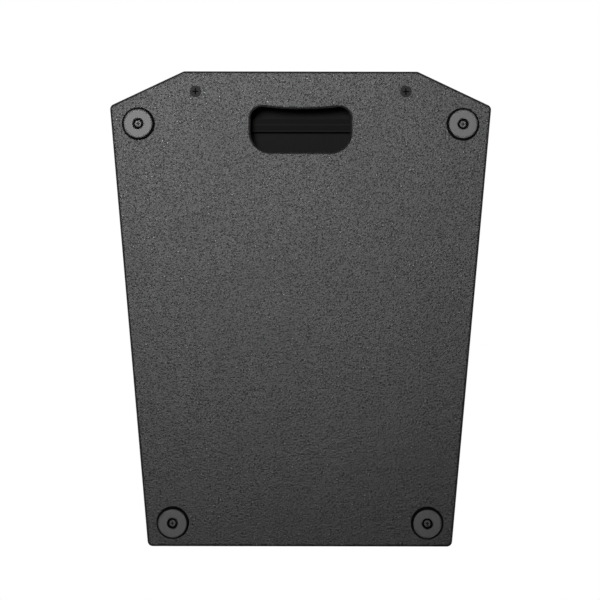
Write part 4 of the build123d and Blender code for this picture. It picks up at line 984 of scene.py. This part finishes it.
@dataclass
class Grille:
    """The hexagonally perforated steel sheet with its folded edge, and the foam behind it."""

    corner: float = 7.0 * MM
    inner_corner: float = 3.0 * MM
    corner_steps: int = 6
    thickness: float = 1.5 * MM
    lap: float = 0.05 * MM
    fold: float = 16.0 * MM
    bend: float = 2.2 * MM
    hold: float = 0.3 * MM
    border: float = 20.5 * MM
    bend_steps: int = 4
    pitch: float = 7.0 * MM
    hole: float = 5.7 * MM
    foam_gap: float = 2.2 * MM
    foam_cells: int = 56
    foam_wave: float = 0.18 * MM
    foam_wave_scale: float = 30.0
    foam_edge: float = 0.8 * MM

    def __post_init__(self) -> None:
        """Read where the CAD sheet and its foam lie along the slope."""
        self.low, self.high = span("grille", SLOPE.up)
        self.face = span("grille", SLOPE.out)[1]
        ends = (self.edge_point(self.low), self.edge_point(self.high))
        self.lean = (ends[1][0] - ends[0][0]) / (ends[1][1] - ends[0][1])
        self.lower_half = ends[0][0] + self.lean * (self.low - ends[0][1])
        self.upper_half = self.half(self.high)
        self.foam_low, self.foam_high = span("grille_foam", SLOPE.up)
        self.foam_back, self.foam_face = span("grille_foam", SLOPE.out)

    def edge_point(self, end: float) -> Point:
        """Where the sheet's straight side meets the corner at one end.

        Args:
            end: The end's place up the slope.

        Returns:
            Half the width there, and the place up the slope.
        """
        near = [c for c in corners("grille") if abs(c.dot(SLOPE.up) - end) < 2 * self.corner]
        widest = max(near, key=lambda c: c.x)
        return widest.x, widest.dot(SLOPE.up)

    def half(self, up: float) -> float:
        """Half the sheet's width at a place up the slope."""
        return self.lower_half + self.lean * (up - self.low)

    def outline(self, mesh: bmesh.types.BMesh, inset: float, radius: float) -> list[bmesh.types.BMEdge]:
        """Add a closed line that runs inside the sheet's outline.

        Args:
            mesh: The mesh that gets the line.
            inset: How far inside the outline it runs.
            radius: Rounding of its corners.

        Returns:
            The line's edges.
        """
        loop = bmesh.new()
        bmesh.ops.create_grid(loop, x_segments=1, y_segments=1, size=1.0)
        for corner in loop.verts:
            up = self.high - inset if corner.co.y > 0 else self.low + inset
            corner.co = (math.copysign(self.half(up) - inset, corner.co.x), up, self.face + self.lap)
        bmesh.ops.bevel(
            loop, geom=loop.verts[:], offset=radius, segments=self.corner_steps, profile=0.5,
            affect="VERTICES", material=-1,
        )
        bmesh.ops.delete(loop, geom=loop.faces[:], context="FACES_ONLY")
        return join(mesh, loop)

    def sheet(self) -> None:
        """Build the perforated field."""
        piece = Piece("grille_sheet", Paint.STEEL_COAT.value)
        mesh = piece.mesh
        root = math.sqrt(3)
        for width in (self.pitch, self.hole):
            bmesh.ops.create_circle(mesh, segments=6, radius=width / root)
        bmesh.ops.bridge_loops(mesh, edges=mesh.edges[:])
        wide = math.ceil(2 * self.upper_half / self.pitch)
        tall = math.ceil((self.high - self.low) / (self.pitch * root))
        repeat(mesh, wide, Vector((self.pitch, 0, 0)))
        repeat(mesh, 2, Vector((self.pitch / 2, self.pitch * root / 2, 0)))
        repeat(mesh, tall, Vector((0, self.pitch * root, 0)))
        shift = Vector((-(wide - 0.5) * self.pitch / 2, self.low, self.face))
        bmesh.ops.translate(mesh, vec=shift, verts=mesh.verts)
        margin = self.border - self.pitch / 2
        lean = math.atan(self.lean)
        cuts = [((0, self.low + margin, 0), (0, -1, 0)), ((0, self.high - margin, 0), (0, 1, 0))]
        for side in (-1, 1):
            edge = (side * (self.half(self.low) - margin), self.low, 0)
            cuts.append((edge, (side * math.cos(lean), -math.sin(lean), 0)))
        for point, normal in cuts:
            geometry = mesh.verts[:] + mesh.edges[:] + mesh.faces[:]
            bmesh.ops.bisect_plane(mesh, geom=geometry, plane_co=point, plane_no=normal, clear_outer=True)
        face_out(mesh)
        made = piece.settle(SLOPE.matrix(), recalculate=False)
        self.thicken(made, self.thickness)
        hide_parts("grille")

    def thicken(self, made: bpy.types.Object, thickness: float) -> None:
        """Give a sheet with crisp free edges its thickness.

        Args:
            made: The sheet, which stays the outer face.
            thickness: How far the wall reaches inwards.
        """
        mesh = bmesh.new()
        mesh.from_mesh(made.data)
        for edge in mesh.edges:
            edge.smooth = edge.smooth and not edge.is_boundary
        mesh.to_mesh(made.data)
        mesh.free()
        wall = made.modifiers.new("wall", "SOLIDIFY")
        wall.thickness = thickness
        wall.offset = -1.0
        wall.use_even_offset = True

    def folded_border(self) -> None:
        """Build the plain border and the edge folded back from it."""
        piece = Piece("grille_border", Paint.STEEL_COAT.value)
        mesh = piece.mesh
        held = self.bend + self.hold
        outer = self.outline(mesh, 0.0, self.corner)
        bmesh.ops.bridge_loops(mesh, edges=outer + self.outline(mesh, held, self.corner - held))
        drawn = bmesh.ops.extrude_edge_only(mesh, edges=outer)["geom"]
        move_points(mesh, drawn, (0, 0, -self.fold - self.lap))
        bmesh.ops.recalc_face_normals(mesh, faces=mesh.faces)
        bend = [e for e in mesh.edges if e.is_manifold and e.calc_face_angle(0.0) > 1.0]
        bmesh.ops.bevel(
            mesh, geom=bend, offset=self.bend, segments=self.bend_steps, profile=0.5, affect="EDGES",
            material=-1,
        )
        flat = bmesh.new()
        ends = self.outline(flat, held, self.corner - held)
        ends += self.outline(flat, self.border, self.inner_corner)
        bmesh.ops.bridge_loops(flat, edges=ends)
        join(mesh, flat)
        face_out(mesh)
        made = piece.settle(SLOPE.matrix(), recalculate=False)
        self.thicken(made, self.thickness + 2 * self.lap)

    def foam(self) -> None:
        """Build the sheet of open foam."""
        piece = Piece("grille_foam_sheet", Paint.FOAM.value)
        mesh = piece.mesh
        count = self.foam_cells
        bmesh.ops.create_grid(mesh, x_segments=count, y_segments=count, size=1.0)
        reach = (self.foam_high - self.foam_low) / 2
        depth = self.foam_face - self.foam_back
        for vertex in mesh.verts:
            up = (self.foam_high + self.foam_low) / 2 + vertex.co.y * reach
            across = vertex.co.x * (self.half(up) - self.foam_gap)
            wave = noise.noise(Vector((across, up, 0)) * self.foam_wave_scale) * self.foam_wave
            vertex.co = (across, up, self.foam_back + self.foam_wave + wave)
        face_out(mesh)
        drawn = bmesh.ops.extrude_face_region(mesh, geom=mesh.faces[:])["geom"]
        move_points(mesh, drawn, (0, 0, depth - 2 * self.foam_wave))
        bmesh.ops.recalc_face_normals(mesh, faces=mesh.faces)
        round_edges(mesh, self.foam_edge, 2, 60)
        made = piece.settle(SLOPE.matrix())
        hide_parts("grille_foam")

    def build(self) -> None:
        """Build the grille's pieces."""
        self.sheet()
        self.folded_border()
        self.foam()


@dataclass
class Wadding:
    """Two pads of polyester fill against the cabinet's sides."""

    voxel: float = 4.0 * MM
    slack: float = 2.6 * MM
    tuft: float = 1.4 * MM
    tuft_scale: float = 45.0
    fibre_share: float = 0.5
    fibre_scale: float = 130.0
    rounds: int = 6

    def swell(self, place: Vector) -> float:
        """How far the fill bulges at a place."""
        fibres = self.fibre_share * self.tuft * noise.noise(place * self.fibre_scale)
        return self.tuft * noise.noise(place * self.tuft_scale) + fibres

    def build(self) -> None:
        """Build both pads as one soft piece in the room the CAD solids keep."""
        piece = Piece("side_wadding", Paint.FILL.value)
        rough = add_object("wadding_room", frame["nodes"]["wadding"].data.copy())
        skin = rough.modifiers.new("skin", "REMESH")
        skin.mode = "VOXEL"
        skin.voxel_size = self.voxel
        graph = bpy.context.evaluated_depsgraph_get()
        skinned = bpy.data.meshes.new_from_object(rough.evaluated_get(graph))
        bpy.data.objects.remove(rough)
        piece.mesh.from_mesh(skinned)
        mesh = piece.mesh
        for _ in range(self.rounds):
            bmesh.ops.smooth_vert(
                mesh, verts=mesh.verts, factor=0.5, use_axis_x=True, use_axis_y=True, use_axis_z=True
            )
        mesh.normal_update()
        shifts = [
            vertex.normal * self.swell(vertex.co) - vertex.normal * self.slack / 2 for vertex in mesh.verts
        ]
        for vertex, shift in zip(mesh.verts, shifts):
            vertex.co += shift
        made = piece.settle()
        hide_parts("wadding")


@dataclass
class Woofer:
    """The 12 inch loudspeaker: its moving cone and the cloth that carries it."""

    steps: int = 144
    samples: int = 48
    gasket: float = 1.5 * MM
    surround: Sequence[Point] = ((118 * MM, -2.5 * MM), (128.5 * MM, 5.5 * MM))
    surround_lips: Point = (113 * MM, 134.8 * MM)
    surround_waves: float = 2.5
    surround_height: float = 1.2 * MM
    surround_wall: float = 0.8 * MM
    spider: Sequence[Point] = ((42.3 * MM, -54 * MM), (77 * MM, -60 * MM))
    spider_lips: Point = (38.8 * MM, 84 * MM)
    spider_waves: float = 5.5
    spider_height: float = 1.5 * MM
    spider_wall: float = 0.6 * MM

    def __post_init__(self) -> None:
        """Find the middle of the baffle's front face."""
        self.centre = middle("driver_gasket") - SLOPE.out * self.gasket / 2

    def corrugated(
        self, name: str, finish: Finish, ends: Sequence[Point], lips: Point, waves: float, height: float,
        wall: float,
    ) -> bpy.types.Object:
        """Build a corrugated ring of cloth, flat at both lips.

        Args:
            name: The piece's name.
            finish: Its finish.
            ends: Radius and height where the waves start and end.
            lips: Radius of the inner and the outer edge.
            waves: Whole waves between the ends.
            height: The waves' height above and below the middle line.
            wall: Thickness of the cloth.

        Returns:
            The ring, not yet on a body.
        """
        (inner, low), (outer, high) = ends
        line = [(lips[0], low)]
        for index in range(self.samples + 1):
            share = index / self.samples
            swing = math.sin(2 * math.pi * waves * share) * height
            line.append((inner + (outer - inner) * share, low + (high - low) * share + swing))
        line.append((lips[1], high))
        under = [(r, h - wall) for r, h in reversed(line)]
        piece = Piece(name, finish)
        spin(piece.mesh, line + under, self.steps)
        place = Matrix.Translation(self.centre) @ SLOPE.matrix()
        return piece.settle(place, sharp=60.0, ride=False)

    def build(self) -> None:
        """Build the suspension and dress the rest."""
        surround = self.corrugated(
            "cone_surround", Paint.CLOTH.value, self.surround, self.surround_lips, self.surround_waves,
            self.surround_height, self.surround_wall,
        )
        self.hang(surround)
        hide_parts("surround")
        spider = self.corrugated(
            "cone_spider", Paint.SPIDER.value, self.spider, self.spider_lips, self.spider_waves,
            self.spider_height, self.spider_wall,
        )
        self.hang(spider)
        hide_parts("spider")
        dress(Paint.CAST, "driver_basket")
        dress(Paint.GASKET, "driver_gasket")
        dress(Paint.PLATED, "front_plate", "pole_plate")
        dress(Paint.FERRITE, "driver_magnet")
        dress(Paint.COIL, "voice_coil")
        dress(Paint.PAPER, "cone")
        dress(Paint.BLACK_NYLON, "driver_terminals")
        dress(Paint.LEAD, "speaker_lead")

    def hang(self, ring: bpy.types.Object) -> None:
        """Bake a ring's place into its mesh, leaving it on no body.

        Args:
            ring: The corrugated ring.
        """
        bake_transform(ring)


@dataclass
class TrebleUnit:
    """The treble horn, its driver and the reflex ports."""

    def build(self) -> None:
        """Dress the horn, the driver and the ports."""
        dress(Paint.HORN, "treble_horn")
        dress(Paint.TREBLE, "treble_driver")
        dress(Paint.CAP, "treble_cover")
        dress(Paint.DOME, "treble_dome")
        dress(Paint.PORT, "port_left", "port_right")


@dataclass
class Amplifier:
    """The powered module's faceplate, its sockets, controls and lights."""

    proud: float = 0.15 * MM
    sunk: float = 0.15 * MM
    tick_count: int = 11
    tick_size: Point = (0.7 * MM, 2.6 * MM)
    tick_gap: float = 1.6 * MM
    dial_turn: float = math.radians(150)
    mark_size: Point = (1.1 * MM, 6.0 * MM)
    frame_line: float = 0.5 * MM
    frame_margin: float = 6.0 * MM
    screw_radius: float = 2.7 * MM
    screw_height: float = 1.1 * MM
    screw_inset: Point = (3.6 * MM, 3.6 * MM)
    screw_outline: Sequence[Point] = (  # shares of the head's radius and height
        (0, -0.4), (1, -0.4), (1, 0.35), (0.92, 0.7), (0.6, 0.95), (0.3, 1.0), (0.3, 0.5), (0, 0.5),
    )
    ring_width: float = 1.5 * MM
    ring_height: float = 0.6 * MM
    ring_clear: float = 0.35 * MM
    ring_steps: int = 32

    def __post_init__(self) -> None:
        """Read the faceplate's outer face from the CAD."""
        self.face = max(corner.y for corner in corners("amp_faceplate"))

    def face_place(self, across: float, height: float, out: float = 0.0, turn: float = 0.0) -> Matrix:
        """A place on the faceplate: X to the left as seen, Y up, Z out of it.

        Args:
            across: Place along the row frame's X axis.
            height: Height above the floor.
            out: How far in front of the faceplate.
            turn: Turn about the outward axis.

        Returns:
            The place's matrix.
        """
        upright = Matrix.Rotation(math.pi, 4, "Z") @ Matrix.Rotation(math.pi / 2, 4, "X")
        place = Matrix.Translation((across, self.face + out, height))
        return place @ upright @ Matrix.Rotation(turn, 4, "Z")

    def add_bar(self, mesh: bmesh.types.BMesh, place: Matrix, size: Point, shift: float = 0.0) -> None:
        """Add a thin printed or inlaid bar.

        Args:
            mesh: The mesh that gets the bar.
            place: Its place on the faceplate.
            size: Its width and length.
            shift: How far its middle stands from the place, along its length.
        """
        thick = self.proud + self.sunk
        middle_out = (self.proud - self.sunk) / 2
        shape = Matrix.Translation((0, shift, middle_out)) @ Matrix.Diagonal((*size, thick, 1))
        bmesh.ops.create_cube(mesh, size=1.0, matrix=place @ shape)

    def add_ring(
        self, mesh: bmesh.types.BMesh, place: Matrix, inner: float, outer: float, height: float
    ) -> None:
        """Add a flat ring with a rounded outer corner.

        Args:
            mesh: The mesh that gets the ring.
            place: Its place on the faceplate.
            inner: Radius of its hole.
            outer: Outer radius.
            height: How far it stands out.
        """
        part = bmesh.new()
        soft = min(height, outer - inner) / 3
        outline = (
            (inner, -self.sunk), (outer, -self.sunk), (outer, height - soft), (outer - soft, height),
            (inner, height),
        )
        spin(part, outline, self.ring_steps)
        bmesh.ops.transform(part, matrix=place, verts=part.verts)
        join(mesh, part)

    def dial(self) -> None:
        """Print the scale round the level knob, and inlay the mark on the knob."""
        knob = middle("level_knob")
        low, high = limits("level_knob")
        radius = (high.x - low.x) / 2
        scale = Piece("level_scale", Paint.INK.value)
        reach = radius + self.tick_gap + self.tick_size[1] / 2
        for index in range(self.tick_count):
            turn = self.dial_turn * (2 * index / (self.tick_count - 1) - 1)
            self.add_bar(scale.mesh, self.face_place(knob.x, knob.z, 0.0, turn), self.tick_size, reach)
        scale.settle()
        mark = Piece("level_mark", Paint.INK.value, Body.KNOB.value)
        place = self.face_place(knob.x, knob.z, high.y - self.face)
        self.add_bar(mark.mesh, place, self.mark_size, radius - self.mark_size[1] / 2 - self.tick_gap)
        mark.settle()

    def print_frames(self) -> None:
        """Print a thin line round each group of controls and sockets."""
        lines = Piece("panel_lines", Paint.INK.value)
        groups = (
            ("level_knob", "ground_button", "filter_button", "light_pipes"),
            ("input_socket", "link_socket"),
            ("mains_inlet", "switch_frame"),
        )
        for group in groups:
            sides = [corner.x for node in group for corner in corners(node)]
            heights = [corner.z for node in group for corner in corners(node)]
            low_x, high_x = min(sides) - self.frame_margin, max(sides) + self.frame_margin
            low_z, high_z = min(heights) - self.frame_margin, max(heights) + self.frame_margin
            wide, tall = high_x - low_x, high_z - low_z
            for height in (low_z, high_z):
                place = self.face_place((low_x + high_x) / 2, height)
                self.add_bar(lines.mesh, place, (wide + self.frame_line, self.frame_line))
            for across in (low_x, high_x):
                place = self.face_place(across, (low_z + high_z) / 2)
                self.add_bar(lines.mesh, place, (self.frame_line, tall - self.frame_line))
        lines.settle()

    def rings(self) -> None:
        """Add the collars round the buttons."""
        collars = Piece("button_collars", Paint.BLACK_NYLON.value)
        for node in ("ground_button", "filter_button"):
            low, high = limits(node)
            radius = (high.x - low.x) / 2 + self.ring_clear
            place = self.face_place(middle(node).x, middle(node).z)
            self.add_ring(collars.mesh, place, radius, radius + self.ring_width, self.ring_height)
        collars.settle()

    def socket_screws(self) -> None:
        """Add two screw heads to each round socket's flange."""
        heads = Piece("socket_screws", Paint.BLACK_OXIDE.value)
        profile = [(r * self.screw_radius, h * self.screw_height) for r, h in self.screw_outline]
        for node in ("input_socket", "link_socket"):
            low, high = limits(node)
            for side in (-1, 1):
                across = middle(node).x + side * ((high.x - low.x) / 2 - self.screw_inset[0])
                height = middle(node).z + side * ((high.z - low.z) / 2 - self.screw_inset[1])
                add_turned(heads.mesh, profile, self.face_place(across, height, high.y - self.face))
        heads.settle()

    def build(self) -> None:
        """Dress the module and add the faceplate's small parts."""
        self.dial()
        self.print_frames()
        self.rings()
        self.socket_screws()
        dress(Paint.PLATE_COAT, "amp_faceplate")
        dress(Paint.ANODISED, "heatsink")
        dress(Paint.CASE, "module_cover")
        dress(Paint.SHELL, "input_socket", "link_socket")
        dress(Paint.BLACK_NYLON, "input_insulator", "mains_inlet", "switch_frame", "control_bodies")
        dress(Paint.LATCH, "input_latch")
        dress(Paint.GOLD, "contact_pins")
        dress(Paint.ROCKER, "power_rocker")
        dress(Paint.KNOB, "level_knob")
        dress(Paint.SHAFT, "knob_shaft")
        dress(Paint.BUTTON, "ground_button", "filter_button")
        dress(Paint.LIGHT, "light_pipes")
        dress(Paint.BOARD, "circuit_boards")
        dress(Paint.PARTS, "board_components")


# ---------------------------------------------------------------- the stage
@dataclass(frozen=True)
class Lamp:
    """A soft square light aimed at a point."""

    name: str
    place: Sequence[float]
    aim: Sequence[float]
    size: float
    power: float
    spread: float = 180.0

    def build(self) -> None:
        """Add the light."""
        data = bpy.data.lights.new(self.name, "AREA")
        data.size = self.size
        data.energy = self.power
        data.spread = math.radians(self.spread)
        lamp = add_object(self.name, data)
        lamp.location = self.place
        lamp.rotation_mode = "QUATERNION"
        lamp.rotation_quaternion = (Vector(self.aim) - Vector(self.place)).to_track_quat("-Z", "Y")


ROOM_AIM = (0.0, 0.0, 0.1)
LAMPS = (
    Lamp("under_key", (0.35, 0.60, -4.3), (0.17, 0.46, 0.0), 0.5, 5.5, spread=26.0),
    Lamp("under_fill", (0.1, 0.1, -4.6), (0.0, 0.0, 0.0), 0.8, 4.0),
    Lamp("key", (-1.7, -2.2, 2.3), ROOM_AIM, 1.6, 90.0),
    Lamp("fill", (2.4, -1.4, 1.5), ROOM_AIM, 1.8, 45.0),
    Lamp("rear_key", (1.8, 2.4, 2.0), ROOM_AIM, 1.8, 80.0),
    Lamp("rear_fill", (-2.2, 1.8, 1.2), ROOM_AIM, 1.8, 40.0),
)


@dataclass
class Stage:
    """The pale floor, the white surroundings, the lamps and the camera under the wedge."""

    floor_size: float = 40.0
    floor_gap: float = 0.3 * MM  # keeps the floor clear of the feet's faces
    floor_colour: Colour = (0.80, 0.80, 0.80)
    floor_fade: Point = (0.35, 2.4)  # square of the distance where the floor turns plain white
    surround_white: float = 1.0
    surround_light: float = 0.07
    camera_place: Sequence[float] = (0.0003, 0.1407, -3.988)
    camera_aim: Sequence[float] = (0.0003, 0.0107, 0.012)
    camera_roll: float = math.radians(0.10)
    lens: float = 213.85
    film_width: float = 36.0
    sight: float = 100.0

    def floor(self) -> None:
        """Add the floor: pale from above and clear from below."""
        piece = bmesh.new()
        low = Matrix.Translation((0, 0, -self.floor_gap))
        bmesh.ops.create_grid(piece, x_segments=1, y_segments=1, size=self.floor_size / 2, matrix=low)
        data = bpy.data.meshes.new("floor")
        piece.to_mesh(data)
        piece.free()
        made = add_object("floor", data)
        made.visible_shadow = False
        made.visible_diffuse = False
        made.visible_glossy = False
        g = Graph("floor_paper")
        below = g.node("ShaderNodeNewGeometry").outputs["Backfacing"]
        matt = g.node("ShaderNodeBsdfDiffuse", {}, {"Color": (*self.floor_colour, 1.0)})
        white = g.node("ShaderNodeEmission")
        clear = g.node("ShaderNodeBsdfTransparent")
        right, back = g.along((1, 0, 0)), g.along((0, 1, 0))
        far = (right * right + back * back).step(*self.floor_fade)
        pale = g.node("ShaderNodeMixShader", {}, {0: far, 1: matt.outputs[0], 2: white.outputs[0]})
        mixed = g.node("ShaderNodeMixShader", {}, {0: below, 1: pale.outputs[0], 2: clear.outputs[0]})
        g.node("ShaderNodeOutputMaterial", {}, {"Surface": mixed.outputs[0]})
        data.materials.append(g.material)

    def surroundings(self) -> None:
        """White where the camera looks, and a dimmer grey for the light that it casts."""
        world = bpy.data.worlds.new("white_room")
        bpy.context.scene.world = world
        world.use_nodes = True
        tree = world.node_tree
        tree.nodes.clear()
        path = tree.nodes.new("ShaderNodeLightPath")
        seen, cast = (tree.nodes.new("ShaderNodeBackground") for _ in range(2))
        seen.inputs["Strength"].default_value = self.surround_white
        cast.inputs["Strength"].default_value = self.surround_light
        for shade in (seen, cast):
            shade.inputs["Color"].default_value = (1.0, 1.0, 1.0, 1.0)
        choice = tree.nodes.new("ShaderNodeMixShader")
        out = tree.nodes.new("ShaderNodeOutputWorld")
        tree.links.new(path.outputs["Is Camera Ray"], choice.inputs[0])
        tree.links.new(cast.outputs[0], choice.inputs[1])
        tree.links.new(seen.outputs[0], choice.inputs[2])
        tree.links.new(choice.outputs[0], out.inputs["Surface"])

    def camera(self) -> None:
        """Add the camera, looking up at the base with the rear edge at the top."""
        data = bpy.data.cameras.new("camera")
        data.lens = self.lens
        data.sensor_width = self.film_width
        data.clip_end = self.sight
        made = add_object("camera", data)
        back = (Vector(self.camera_place) - Vector(self.camera_aim)).normalized()
        right = Vector((0, 1, 0)).cross(back).normalized()
        axes = Matrix((right, back.cross(right), back)).transposed().to_4x4()
        roll = Matrix.Rotation(self.camera_roll, 4, "Z")
        made.matrix_world = Matrix.Translation(self.camera_place) @ axes @ roll
        bpy.context.scene.camera = made

    def build(self) -> None:
        """Set the stage."""
        self.floor()
        self.surroundings()
        self.camera()
        for lamp in LAMPS:
            lamp.build()
        bpy.context.scene.view_settings.view_transform = "Standard"


def main() -> None:
    """Build every piece in order."""
    logging.basicConfig(level=logging.INFO, format="%(name)s: %(message)s")
    for part in (Cabinet(), Feet(), Grille(), Wadding(), Woofer(), TrebleUnit(), Amplifier(), Stage()):
        LOG.info("building %s", type(part).__name__)
        part.build()


if __name__ == "__main__":
    main()
